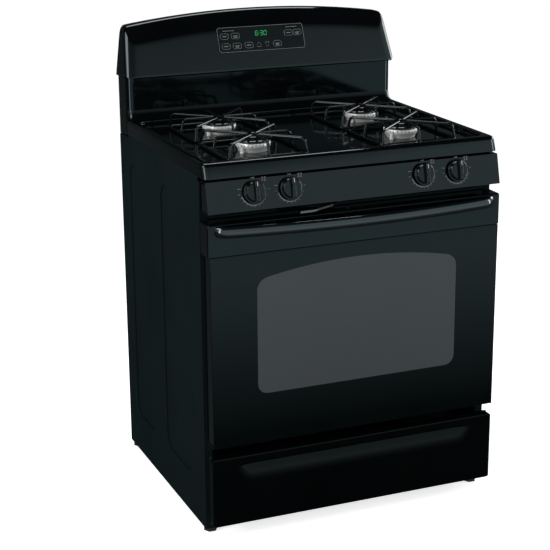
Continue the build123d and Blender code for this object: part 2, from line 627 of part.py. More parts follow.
# Spark igniters: a ceramic post with a pointed wire beside each head
with BuildPart() as burner_igniters:
    for x, y in BURNER_SPOTS.values():
        spot_x = x - IGNITER_OUT * cos(radians(IGNITER_ANGLE))
        spot_y = y - IGNITER_OUT * sin(radians(IGNITER_ANGLE))
        ceramic_top = COOK_SURFACE + IGNITER_POST[1]
        rod((spot_x, spot_y, COOK_SURFACE), (spot_x, spot_y, ceramic_top), IGNITER_POST[0])
        rod((spot_x, spot_y, ceramic_top), (spot_x, spot_y, ceramic_top + SPARK_WIRE[1]), SPARK_WIRE[0])
keep(burner_igniters.part, "burner_igniters")

# Grates: a square wire foot, eight fingers that bend down to it, and a ring that ties them
GRATE_FOOT = COOK_SURFACE + GAP + GRATE_FOOT_WIRE
with BuildPart() as grate_form:
    square = [(1, 1), (-1, 1), (-1, -1), (1, -1)]
    feet = [(GRATE_HALF * x, GRATE_HALF * y, GRATE_FOOT) for x, y in square]
    wire(feet, GRATE_FOOT_WIRE, GRATE_CORNER, close=True)
    for i in range(8):
        way = (cos(radians(45 * i)), sin(radians(45 * i)))
        reach = GRATE_HALF if i % 2 == 0 else GRATE_HALF * sqrt(2) - GRATE_CORNER * (sqrt(2) - 1)
        stations = ((GRATE_EYE, GRATE_TOP), (reach - GRATE_SPLAY, GRATE_TOP), (reach, GRATE_FOOT))
        wire([(way[0] * r, way[1] * r, z) for r, z in stations], GRATE_WIRE, GRATE_BEND)
    with BuildSketch(Plane.XZ):
        with Locations((GRATE_TIE, GRATE_TOP - GRATE_TIE_DROP)):
            Circle(GRATE_TIE_WIRE)
    revolve(axis=Axis.Z)
for name, (x, y) in BURNER_SPOTS.items():
    with BuildPart() as grate:
        with Locations((x, y, 0)):
            add(grate_form.part)
    keep(grate.part, f"grate_{name}")

# Control panel: a folded sheet with a bracket near each end and a hole for each valve stem
with BuildPart() as control_panel:
    outline = [PANEL_TOP, PANEL_FOOT, (PANEL_BACK[1], PANEL_FOOT[1]), (PANEL_BACK[0], PANEL_TOP[1])]
    prism(outline, (-PANEL_HALF, PANEL_HALF))
    inside = [(panel_y(z) + SHEET, z) for z in (PANEL_TOP[1] - SHEET, PANEL_FOOT[1] + SHEET)]
    inside += [(FRAME_Y[0], PANEL_FOOT[1] + SHEET), (FRAME_Y[0], PANEL_TOP[1] - SHEET)]
    prism(inside, (-PANEL_HALF, PANEL_HALF), Mode.SUBTRACT)
    bracket_z = (PANEL_FOOT[1] + SHEET, SIDE_Z[1] - SHEET)
    bracket = [(panel_y(z), z) for z in bracket_z] + [(SIDE_Y[0], z) for z in reversed(bracket_z)]
    for sign in (-1, 1):
        prism(bracket, (sign * (FRAME_HALF - SHEET), sign * FRAME_HALF))
    with Locations(*[knob_plane(x) for x in KNOB_X.values()]):
        Cylinder(STEM_HOLE, 6 * SHEET, mode=Mode.SUBTRACT)
keep(control_panel.part, "control_panel")

# Gas valves: a body on the manifold for each knob
MANIFOLD_MIDDLE = knob_plane(0, VALVE_ENDS[0]).origin
with BuildPart() as gas_valves:
    for x in KNOB_X.values():
        with Locations(knob_plane(x, sum(VALVE_ENDS) / 2)):
            Cylinder(VALVE_RADIUS, VALVE_ENDS[1] - VALVE_ENDS[0])
        with Locations(knob_plane(x, (STEM_ENDS[0] - 1 + VALVE_ENDS[1]) / 2)):
            Cylinder(STEM_RADIUS + PLAY, VALVE_ENDS[1] - STEM_ENDS[0] + 1, mode=Mode.SUBTRACT)
    pipe = [(sign * PANEL_HALF, MANIFOLD_MIDDLE.Y, MANIFOLD_MIDDLE.Z) for sign in (-1, 1)]
    rod(*pipe, MANIFOLD_RADIUS + PLAY, Mode.SUBTRACT)
keep(gas_valves.part, "gas_valves")

# Valve stems: round shafts with a flat where the knob grips
for name, x in KNOB_X.items():
    with BuildPart() as valve_stem:
        with Locations(knob_plane(x, sum(STEM_ENDS) / 2)):
            Cylinder(STEM_RADIUS, STEM_ENDS[1] - STEM_ENDS[0])
        with Locations(knob_plane(x, STEM_ENDS[1])):
            with Locations((0, STEM_RADIUS + STEM_FLAT, 0)):
                Box(4 * STEM_RADIUS, 2 * STEM_RADIUS, 2 * (STEM_ENDS[1] - STEM_FLAT_FROM), mode=Mode.SUBTRACT)
    keep(valve_stem.part, f"valve_stem_{name}")

# Knobs: a skirt, a crowned body and a grip blade across it
for name, x in KNOB_X.items():
    with BuildPart() as knob:
        with BuildSketch(knob_plane(x, KNOB_LIFT)):
            Circle(KNOB_RADIUS)
        extrude(amount=KNOB_SKIRT)
        with BuildSketch(knob_plane(x, KNOB_LIFT + KNOB_SKIRT)):
            Circle(KNOB_CROWN)
        extrude(amount=KNOB_HEIGHT - KNOB_LIFT - KNOB_SKIRT, taper=KNOB_TAPER)
        with BuildSketch(knob_plane(x, KNOB_LIFT + KNOB_SKIRT)):
            RectangleRounded(BLADE[0], BLADE[1], BLADE[0] / 2 - PLAY)
        extrude(amount=BLADE[2] - KNOB_LIFT - KNOB_SKIRT, taper=BLADE_TAPER)
        with BuildSketch(knob_plane(x, KNOB_LIFT)):
            Circle(STEM_RADIUS + PLAY)
            with Locations((0, STEM_RADIUS + STEM_FLAT + PLAY)):
                Rectangle(4 * STEM_RADIUS, 2 * STEM_RADIUS, mode=Mode.SUBTRACT)
        extrude(amount=STEM_ENDS[1], mode=Mode.SUBTRACT)
    keep(knob.part, f"knob_{name}")

# Gas manifold: a pipe behind the panel that turns back along the right side to the regulator
with BuildPart() as gas_manifold:
    low = MANIFOLD_MIDDLE.Z
    route = [(-MANIFOLD_HALF, MANIFOLD_MIDDLE.Y, low), (MANIFOLD_HALF, MANIFOLD_MIDDLE.Y, low)]
    route += [(MANIFOLD_HALF, REGULATOR_Y, low), (MANIFOLD_HALF, REGULATOR_Y, REGULATOR_Z[1])]
    wire(route, MANIFOLD_RADIUS, MANIFOLD_BEND)
keep(gas_manifold.part, "gas_manifold")

# Pressure regulator with the threaded gas inlet at the rear
with BuildPart() as pressure_regulator:
    body = [(MANIFOLD_HALF, REGULATOR_Y, z) for z in REGULATOR_Z]
    rod(*body, REGULATOR_RADIUS)
    rod((MANIFOLD_HALF, REGULATOR_Y, INLET_Z), (MANIFOLD_HALF, INLET_END, INLET_Z), INLET_BOSS)
    inlet_y = INLET_END - INLET_DEPTH
    rod((MANIFOLD_HALF, inlet_y, INLET_Z), (MANIFOLD_HALF, INLET_END, INLET_Z), INLET_RADIUS, Mode.SUBTRACT)
keep(pressure_regulator.part, "pressure_regulator")

# Burner tubes: each runs from a valve to the orifice holder under its burner
with BuildPart() as burner_tubes:
    for name, feed in KNOB_FEEDS.items():
        outlet = knob_plane(KNOB_X[name], sum(STEM_ENDS) - TUBE_RADIUS).origin
        x, y = BURNER_SPOTS[feed]
        run = [(outlet.X, outlet.Y, outlet.Z), (outlet.X, outlet.Y, TUBE_Z)]
        wire(run + [(x, y, TUBE_Z), (x, y, HOLDER_Z[0])], TUBE_RADIUS, TUBE_BEND)
        rod((x, y, HOLDER_Z[0]), (x, y, HOLDER_Z[1]), HOLDER_RADIUS)
    add(gas_valves.part, mode=Mode.SUBTRACT)
    for x in KNOB_X.values():
        with Locations(knob_plane(x, (STEM_ENDS[0] - 1 + VALVE_ENDS[1]) / 2)):
            Cylinder(VALVE_RADIUS, VALVE_ENDS[1] - STEM_ENDS[0] + 1, mode=Mode.SUBTRACT)
keep(burner_tubes.part, "burner_tubes")

# Rear panel: a sheet with the inlet hole, the cord hole and rows of louvres
REAR_PANEL_Y = (SIDE_Y[1], SIDE_Y[1] + SHEET)
REAR_Z = (BASE_Z[0], SIDE_Z[1])
with BuildPart() as rear_panel:
    block((-REAR_HALF, REAR_HALF), REAR_PANEL_Y, REAR_Z)
    for spot, radius in (((MANIFOLD_HALF, INLET_Z), INLET_HOLE), (CORD_SPOT, CORD_RADIUS)):
        hole = [(spot[0], y, spot[1]) for y in REAR_PANEL_Y]
        rod(*hole, radius, Mode.SUBTRACT)
    with BuildSketch(Plane.XZ.offset(-REAR_PANEL_Y[1])):
        with Locations(REAR_LOUVRES):
            with GridLocations(*REAR_LOUVRE_PITCH, *REAR_LOUVRE_COUNT):
                SlotOverall(*LOUVRE)
    extrude(amount=SHEET, mode=Mode.SUBTRACT)
keep(rear_panel.part, "rear_panel")

# Screws of the rear panel
with BuildPart() as rear_panel_screws:
    for z in SCREW_ROW_Z:
        for x in (SCREW_INSET - REAR_HALF, REAR_HALF - SCREW_INSET):
            rod((x, REAR_PANEL_Y[1], z), (x, REAR_PANEL_Y[1] + SCREW_HEAD, z), SCREW_RADIUS)
keep(rear_panel_screws.part, "rear_panel_screws")

# Cord gland: a bush in the rear panel for the mains lead
with BuildPart() as cord_gland:
    gland_y = (REAR_PANEL_Y[0] - GLAND_ENDS[0], REAR_PANEL_Y[1] + GLAND_ENDS[1])
    gland = [(CORD_SPOT[0], y, CORD_SPOT[1]) for y in gland_y]
    rod(*gland, CORD_RADIUS)
    collar = [(CORD_SPOT[0], y, CORD_SPOT[1]) for y in (REAR_PANEL_Y[1], REAR_PANEL_Y[1] + COLLAR)]
    rod(*collar, CORD_RADIUS + COLLAR)
    rod(*gland, CORD_HOLE, Mode.SUBTRACT)
keep(cord_gland.part, "cord_gland")

# Riser of the backguard: a front and two sides with rounded corners and the oven outlet
RISER_Z = (SIDE_Z[1], CONSOLE_Z[0])
with BuildPart() as backguard_riser:
    with BuildSketch(Plane.XY.offset(RISER_Z[0])):
        with Locations((0, RISER_FRONT)):
            Rectangle(2 * RISER_HALF, CONSOLE_REAR - RISER_FRONT, align=(Align.CENTER, Align.MIN))
    extrude(amount=RISER_Z[1] - RISER_Z[0])
    fillet(backguard_riser.edges().filter_by(Axis.Z).sort_by(Axis.Y)[:2], RISER_CORNER)
    inner = (SHEET - RISER_HALF, RISER_HALF - SHEET)
    block(inner, (RISER_FRONT + RISER_CORNER, CONSOLE_REAR), RISER_Z, Mode.SUBTRACT)
    core = (RISER_CORNER - RISER_HALF, RISER_HALF - RISER_CORNER)
    block(core, (RISER_FRONT + SHEET, CONSOLE_REAR), RISER_Z, Mode.SUBTRACT)
    with BuildSketch(Plane.XZ.offset(-RISER_FRONT - SHEET)):
        with Locations((0, sum(FLUE_OUTLET) / 2)):
            with GridLocations(OUTLET_PITCH, 0, OUTLET_SLOTS, 1):
                SlotOverall(*OUTLET_SLOT)
    extrude(amount=SHEET, mode=Mode.SUBTRACT)
keep(backguard_riser.part, "backguard_riser")


def console_outline(inset):
    """Gives the console's outline seen from the front: tapered ends and an arched top."""
    foot = (CONSOLE_HALF - inset, CONSOLE_Z[0] + inset)
    shoulder = (CONSOLE_SHOULDER[0] - inset, CONSOLE_SHOULDER[1] - inset)
    crown = (0, CONSOLE_Z[1] - inset)
    with BuildSketch(Plane.XZ.offset(-CONSOLE_REAR)) as outline:
        with BuildLine():
            Polyline((-shoulder[0], shoulder[1]), (-foot[0], foot[1]), foot, shoulder)
            ThreePointArc(shoulder, crown, (-shoulder[0], shoulder[1]))
        make_face()
    return outline.sketch


# Console hood: a hollow shell with a slanted front and an arched top
with BuildPart() as console_core:
    extrude(console_outline(CONSOLE_WALL), amount=CONSOLE_REAR - CONSOLE_FRONT[0])
    shoulders = console_core.edges().filter_by(Axis.Y).sort_by(Axis.Z)[-2:]
    fillet(shoulders, CONSOLE_CORNER - CONSOLE_WALL)
    split(bisect_by=console_plane(CONSOLE_Z[0], CONSOLE_WALL), keep=Keep.BOTTOM)
    front_face = console_core.faces().filter_by(console_plane(CONSOLE_Z[0])).sort_by(Axis.Y)[0]
    fillet(front_face.edges(), CONSOLE_EDGE - CONSOLE_WALL)
with BuildPart() as console_shell:
    extrude(console_outline(0), amount=CONSOLE_REAR - CONSOLE_FRONT[0])
    shoulders = console_shell.edges().filter_by(Axis.Y).sort_by(Axis.Z)[-2:]
    fillet(shoulders, CONSOLE_CORNER)
    split(bisect_by=console_plane(CONSOLE_Z[0]), keep=Keep.BOTTOM)
    front_face = console_shell.faces().filter_by(console_plane(CONSOLE_Z[0])).sort_by(Axis.Y)[0]
    fillet(front_face.edges(), CONSOLE_EDGE)
    add(console_core.part, mode=Mode.SUBTRACT)
keep(console_shell.part, "console_shell")

# Touch panel: a thin plate with round corners on the slanted face
with BuildPart() as control_glass:
    with BuildSketch(console_plane(TOUCH_CENTRE_Z)):
        RectangleRounded(*TOUCH_SIZE, TOUCH_CORNER)
    extrude(amount=TOUCH_THICK)
keep(control_glass.part, "control_glass")

# Oven control: the clock and relay box behind the touch panel
with BuildPart() as oven_control:
    with BuildSketch(console_plane(TOUCH_CENTRE_Z, CONSOLE_WALL)):
        RectangleRounded(*CLOCK_SIZE, CLOCK_CORNER)
    extrude(amount=-CLOCK_DEPTH)
keep(oven_control.part, "oven_control")

# Backguard cover: the sheet that closes the riser and the console from behind
with BuildPart() as backguard_cover:
    extrude(console_outline(COVER_MARGIN), amount=CONSOLE_REAR - REAR)
    cover_shoulders = backguard_cover.edges().filter_by(Axis.Y).sort_by(Axis.Z)[-2:]
    fillet(cover_shoulders, CONSOLE_CORNER - COVER_MARGIN)
    cover_half = RISER_HALF - SHEET / 2
    block((-cover_half, cover_half), (CONSOLE_REAR, REAR), (REAR_Z[1] + SHEET, CONSOLE_Z[0] + CONSOLE_WALL))
    with BuildSketch(Plane.XZ.offset(-REAR)):
        with Locations(COVER_LOUVRES):
            with GridLocations(*COVER_LOUVRE_PITCH, *COVER_LOUVRE_COUNT):
                SlotOverall(*LOUVRE)
    extrude(amount=REAR - CONSOLE_REAR, mode=Mode.SUBTRACT)
keep(backguard_cover.part, "backguard_cover")

# Door frame: a folded channel round the door, slotted for the hinge arms
DOOR_FRAME_Y = (DOOR_FRONT + GLASS_THICK, DOOR_REAR - SHEET)
FRAME_FOOT = DOOR_Z[0] + DOOR_SILL
with BuildPart() as door_frame:
    block((-DOOR_HALF, DOOR_HALF), (DOOR_FRONT, SILL_REAR), (DOOR_Z[0], FRAME_FOOT))
    frame_z = (FRAME_FOOT, DOOR_Z[1])
    block((-DOOR_FRAME_HALF, DOOR_FRAME_HALF), DOOR_FRAME_Y, frame_z)
    hollow_half = DOOR_FRAME_HALF - SHEET
    hollow_z = (frame_z[0] + SHEET, frame_z[1] - SHEET)
    hollow_y = (DOOR_FRAME_Y[0] + SHEET, DOOR_FRAME_Y[1] - SHEET)
    block((-hollow_half, hollow_half), hollow_y, hollow_z, Mode.SUBTRACT)
    open_half = DOOR_FRAME_HALF - DOOR_FLANGE
    open_z = (frame_z[0] + DOOR_FLANGE, frame_z[1] - DOOR_FLANGE)
    block((-open_half, open_half), DOOR_FRAME_Y, open_z, Mode.SUBTRACT)
    both_sides(HINGE_SLOT, (HINGE_Y - ARM_ROOM, DOOR_FRAME_Y[1]), (DOOR_Z[0], hollow_z[0]), Mode.SUBTRACT)
    both_sides(HINGE_SLOT, (hollow_y[1], DOOR_FRAME_Y[1]), (DOOR_Z[0], SLOT_TOP), Mode.SUBTRACT)
keep(door_frame.part, "door_frame")

# Door glass: the outer pane over the whole front
with BuildPart() as door_glass:
    block((-DOOR_HALF, DOOR_HALF), (DOOR_FRONT, DOOR_FRAME_Y[0]), (FRAME_FOOT, DOOR_Z[1]))
    fillet(door_glass.faces().sort_by(Axis.Y)[0].edges(), GLASS_EDGE)
keep(door_glass.part, "door_glass")

# Door band: the vented trim across the top, with a pocket for the latch hook
with BuildPart() as door_band:
    block((-HALF_WIDTH, HALF_WIDTH), (BAND_FRONT, DOOR_REAR), (DOOR_Z[1], BAND_TOP))
    fillet(door_band.edges().filter_by(Axis.Z).sort_by(Axis.Y)[:2], BAND_ROUND)
    fillet(door_band.faces().sort_by(Axis.Z)[-1].edges().sort_by(Axis.Y)[:-1], BAND_EDGE)
    band_half = HALF_WIDTH - BAND_EDGE
    block((-band_half, band_half), (BAND_FRONT + SHEET, DOOR_REAR - SHEET),
          (DOOR_Z[1], BAND_TOP - SHEET), Mode.SUBTRACT)
    block(HOOK_SLOT_X, (DOOR_REAR - SHEET, DOOR_REAR), HOOK_SLOT_Z, Mode.SUBTRACT)
    with BuildSketch(Plane.XZ.offset(-BAND_FRONT - SHEET)):
        with Locations((0, VENT_Z)):
            with GridLocations(VENT_PITCH, 0, VENT_COUNT, 1):
                SlotOverall(*VENT_SIZE)
    extrude(amount=SHEET, mode=Mode.SUBTRACT)
keep(door_band.part, "door_band")

# Handle: a bowed bar with a post at each end
with BuildPart() as door_handle:
    with BuildSketch(Plane.XY.offset(HANDLE_Z[0])):
        with BuildLine():
            post = HANDLE_HALF - HANDLE_POST
            inner_end = HANDLE_END + HANDLE_NECK
            foot = [(post, BAND_FRONT), (HANDLE_HALF, BAND_FRONT)]
            right_end = [(post, inner_end), *foot, (HANDLE_HALF, HANDLE_END)]
            left_end = [(-x, y) for x, y in right_end]
            Polyline(*right_end)
            Polyline(*left_end)
            ThreePointArc((-post, inner_end), (0, HANDLE_APEX + HANDLE_THICK), (post, inner_end))
            ThreePointArc((HANDLE_HALF, HANDLE_END), (0, HANDLE_APEX), (-HANDLE_HALF, HANDLE_END))
        make_face()
    extrude(amount=HANDLE_Z[1] - HANDLE_Z[0])
    fillet(door_handle.edges().filter_by(Axis.Z).sort_by(Axis.Y)[:2], HANDLE_CORNER)
    bar_face = door_handle.faces().sort_by(Axis.Y)[0]
    fillet(bar_face.edges().filter_by(GeomType.CIRCLE), HANDLE_ROUND)
keep(door_handle.part, "door_handle")

# Inner panel of the door: a sheet with a raised field, a window and hinge slots
with BuildPart() as door_liner:
    block((-LINER_HALF, LINER_HALF), (DOOR_REAR - SHEET, DOOR_REAR), LINER_Z)
    field_half, *field_z = LINER_FIELD
    block((-field_half, field_half), (DOOR_REAR - SHEET, DOOR_REAR + LINER_RISE), field_z)
    hollow_x = (SHEET - field_half, field_half - SHEET)
    hollow_z = (field_z[0] + SHEET, field_z[1] - SHEET)
    block(hollow_x, (DOOR_REAR - SHEET, DOOR_REAR + LINER_RISE - SHEET), hollow_z, Mode.SUBTRACT)
    block((-WINDOW_HALF, WINDOW_HALF), (DOOR_REAR - SHEET, DOOR_REAR + LINER_RISE), WINDOW_Z, Mode.SUBTRACT)
    both_sides(HINGE_SLOT, (DOOR_REAR - SHEET, DOOR_REAR), (LINER_Z[0], SLOT_TOP), Mode.SUBTRACT)
keep(door_liner.part, "door_liner")

# Inner glass behind the window of the inner panel
with BuildPart() as door_inner_glass:
    pane_half = WINDOW_HALF + PANE_MARGIN
    pane_z = (WINDOW_Z[0] - PANE_MARGIN, WINDOW_Z[1] + PANE_MARGIN)
    pane_rear = DOOR_REAR + LINER_RISE - SHEET
    block((-pane_half, pane_half), (pane_rear - PANE_THICK, pane_rear), pane_z)
keep(door_inner_glass.part, "door_inner_glass")

# Door hinges: a channel in each lower corner of the door, with the pin across it
with BuildPart() as door_hinges:
    for sign in (-1, 1):
        for near in (HINGE_SLOT[0] - HINGE_CHEEK, HINGE_SLOT[1]):
            cheek_x = (sign * near, sign * (near + HINGE_CHEEK))
            block(cheek_x, (HINGE_FRONT, DOOR_FRAME_Y[1] - SHEET), (FRAME_FOOT + SHEET, HINGE_TOP))
        web_x = (sign * (HINGE_SLOT[0] - HINGE_CHEEK), sign * (HINGE_SLOT[1] + HINGE_CHEEK))
        block(web_x, (HINGE_FRONT - HINGE_CHEEK, HINGE_FRONT), (FRAME_FOOT + SHEET, HINGE_TOP))
        pin = [(x, HINGE_Y, HINGE_Z) for x in web_x]
        rod(*pin, HINGE_PIN)
keep(door_hinges.part, "door_hinges")

# Hinge arms: bars fixed in receivers behind the front frame, each with an eye for its pin
with BuildPart() as hinge_arms:
    for sign in (-1, 1):
        arm_x = (sign * HINGE_ARM[0], sign * HINGE_ARM[1])
        block(arm_x, (HINGE_Y, RECEIVER_Y[0]), (HINGE_Z - HINGE_EYE, HINGE_Z + HINGE_EYE))
        eye = [(x, HINGE_Y, HINGE_Z) for x in arm_x]
        rod(*eye, HINGE_EYE)
        receiver_x = (sign * RECEIVER_X[0], sign * RECEIVER_X[1])
        block(receiver_x, RECEIVER_Y, RECEIVER_Z)
        rod(*eye, HINGE_PIN + PLAY, Mode.SUBTRACT)
keep(hinge_arms.part, "hinge_arms")

# Door latch lever: a bent arm with a grip, a boss on the pivot and the hook below it
with BuildPart() as latch_lever:
    with BuildSketch(Plane.XY.offset(LATCH_Z[0])):
        with BuildLine():
            FilletPolyline(*LATCH_ARM, radius=LATCH_BENDS)
        trace(line_width=LATCH_WIDTH)
    extrude(amount=LATCH_Z[1] - LATCH_Z[0])
    boss_z = (LATCH_SHELF_Z + SHEET + GAP, LATCH_Z[1])
    rod((*LATCH_PIVOT, boss_z[0]), (*LATCH_PIVOT, boss_z[1]), LATCH_BOSS)
    hook_tip = (LATCH_PIVOT[0] + HOOK_LENGTH * cos(radians(HOOK_ANGLE)),
                LATCH_PIVOT[1] + HOOK_LENGTH * sin(radians(HOOK_ANGLE)))
    with BuildSketch(Plane.XY.offset(HOOK_Z[0])):
        with BuildLine():
            Line(LATCH_PIVOT, hook_tip)
        trace(line_width=LATCH_WIDTH)
    extrude(amount=HOOK_Z[1] - HOOK_Z[0])
    rod((*LATCH_PIVOT, boss_z[0]), (*LATCH_PIVOT, boss_z[1]), LATCH_PIN + PLAY, Mode.SUBTRACT)
keep(latch_lever.part, "latch_lever")

# Drawer front: a hollow panel with a finger scoop across it
SCOOP_RISE = SCOOP_CHORD_Z - SCOOP_FOOT
SCOOP_ARC = (SCOOP_HALF**2 + SCOOP_RISE**2) / (2 * SCOOP_RISE)
SCOOP_MIDDLE = (0, DRAWER_Y[0] - sqrt(SCOOP_RADIUS**2 - SCOOP_ARC**2), SCOOP_FOOT + SCOOP_ARC)


def scoop(extra):
    """Gives the solid that the scoop takes out of the panel, grown by a wall."""
    with BuildPart() as ball:
        with Locations(SCOOP_MIDDLE):
            Sphere(SCOOP_RADIUS + extra)
        reach = (DRAWER_Y[0] - DRAWER_WALL, DRAWER_Y[1])
        block((-DRAWER_HALF, DRAWER_HALF), reach, (DRAWER_Z[0], SCOOP_TOP + extra), Mode.INTERSECT)
    return ball.part


with BuildPart() as drawer_hollow:
    hollow_half = DRAWER_HALF - DRAWER_WALL
    hollow_z = (DRAWER_Z[0] + DRAWER_WALL, DRAWER_Z[1] - DRAWER_WALL)
    block((-hollow_half, hollow_half), (DRAWER_Y[0] + DRAWER_WALL, DRAWER_Y[1]), hollow_z)
    add(scoop(DRAWER_WALL), mode=Mode.SUBTRACT)
with BuildPart() as drawer_front:
    block((-DRAWER_HALF, DRAWER_HALF), DRAWER_Y, DRAWER_Z)
    fillet(drawer_front.edges().filter_by(Axis.Y), DRAWER_EDGE)
    fillet(drawer_front.faces().sort_by(Axis.Y)[0].edges(), DRAWER_ROUND)
    add(scoop(0), mode=Mode.SUBTRACT)
    add(drawer_hollow.part, mode=Mode.SUBTRACT)
keep(drawer_front.part, "drawer_front")

# Drawer pan: an open tray whose front plate closes the drawer front from behind
with BuildPart() as drawer_pan:
    block((-PAN_HALF, PAN_HALF), PAN_Y, PAN_Z)
    plate_half = DRAWER_HALF - DRAWER_WALL / 2
    plate_z = (DRAWER_Z[0] + DRAWER_WALL / 2, DRAWER_Z[1] - DRAWER_WALL / 2)
    block((-plate_half, plate_half), (PAN_Y[0], PAN_Y[0] + SHEET), plate_z)
    pan_inner = (SHEET - PAN_HALF, PAN_HALF - SHEET)
    block(pan_inner, (PAN_Y[0] + SHEET, PAN_Y[1] - SHEET), (PAN_Z[0] + SHEET, PAN_Z[1]), Mode.SUBTRACT)
keep(drawer_pan.part, "drawer_pan")

# Drawer runners on the pan's sides
with BuildPart() as drawer_runners:
    both_sides(RUNNER_X, RUNNER_Y, RUNNER_Z)
keep(drawer_runners.part, "drawer_runners")

# Drawer rails: channels on the base frame that hold the runners
with BuildPart() as drawer_rails:
    lip_z = (RUNNER_Z[0] - GAP - SHEET, RUNNER_Z[0] - GAP)
    top_z = (RUNNER_Z[1] + GAP, RUNNER_Z[1] + GAP + SHEET)
    both_sides((RAIL_X[1], RAIL_X[1] + SHEET), RAIL_Y, (BASE_Z[1], top_z[1]))
    for z in (lip_z, top_z):
        both_sides(RAIL_X, RAIL_Y, z)
keep(drawer_rails.part, "drawer_rails")
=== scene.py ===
"""Freestanding gas range: modelled shells, printed marks, finishes and a plain studio around the solids."""

import logging
from collections.abc import Callable, Iterable, Sequence
from dataclasses import dataclass
from enum import Enum
from math import asin, atan2, cos, hypot, pi, radians, sin, sqrt, tan

import bmesh
import bpy
from bmesh.types import BMEdge, BMFace, BMVert
from mathutils import Matrix, Vector


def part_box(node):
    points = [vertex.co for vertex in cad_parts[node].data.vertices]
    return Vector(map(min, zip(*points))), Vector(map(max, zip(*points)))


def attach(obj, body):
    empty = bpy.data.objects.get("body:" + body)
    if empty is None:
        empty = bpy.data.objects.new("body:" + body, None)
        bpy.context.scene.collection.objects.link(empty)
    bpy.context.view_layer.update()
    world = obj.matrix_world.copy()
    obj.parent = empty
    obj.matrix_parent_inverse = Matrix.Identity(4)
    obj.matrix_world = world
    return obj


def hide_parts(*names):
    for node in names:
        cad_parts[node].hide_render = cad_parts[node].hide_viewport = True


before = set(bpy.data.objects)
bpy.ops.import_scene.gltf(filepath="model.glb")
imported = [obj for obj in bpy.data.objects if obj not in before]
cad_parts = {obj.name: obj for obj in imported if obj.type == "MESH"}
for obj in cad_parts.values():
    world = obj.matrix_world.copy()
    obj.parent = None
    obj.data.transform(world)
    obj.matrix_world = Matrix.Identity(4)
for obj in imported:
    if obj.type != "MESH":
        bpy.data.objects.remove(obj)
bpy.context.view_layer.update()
LOG = logging.getLogger("range")

Pair = tuple[float, float]
Point = tuple[float, float, float]
Colour = tuple[float, float, float, float]
Outline = Sequence[Pair]
Socket = bpy.types.NodeSocket

SMOOTH_BELOW = radians(32)  # edges flatter than this are shaded smooth
MERGE = 1e-6  # points nearer than this are one


def arc(centre: Pair, radius: float, start: float, end: float, steps: int = 8) -> Outline:
    """Gives points along a circular arc.

    Args:
        centre: Middle of the arc.
        radius: Radius of the arc.
        start: First angle in degrees.
        end: Last angle in degrees.
        steps: Number of spans between the points.

    Returns:
        The points from the first angle to the last.
    """
    turns = [radians(start + (end - start) * i / steps) for i in range(steps + 1)]
    return [(centre[0] + radius * cos(t), centre[1] + radius * sin(t)) for t in turns]


def facing(origin: Point, rise: Point = (0, 0, 1)) -> Matrix:
    """Gives the frame of a face that looks to the front, with X across, Y up the face and Z out of it.

    Args:
        origin: Place on the face.
        rise: Direction up the face.

    Returns:
        The matrix from the face's frame to the object's.
    """
    across, up = Vector((1, 0, 0)), Vector(rise).normalized()
    turn = Matrix((across, up, across.cross(up))).transposed().to_4x4()
    return Matrix.Translation(origin) @ turn


def only(kind: type, geometry: Iterable[object]) -> list:
    """Gives the members of one kind out of an operator's result."""
    return [item for item in geometry if isinstance(item, kind)]


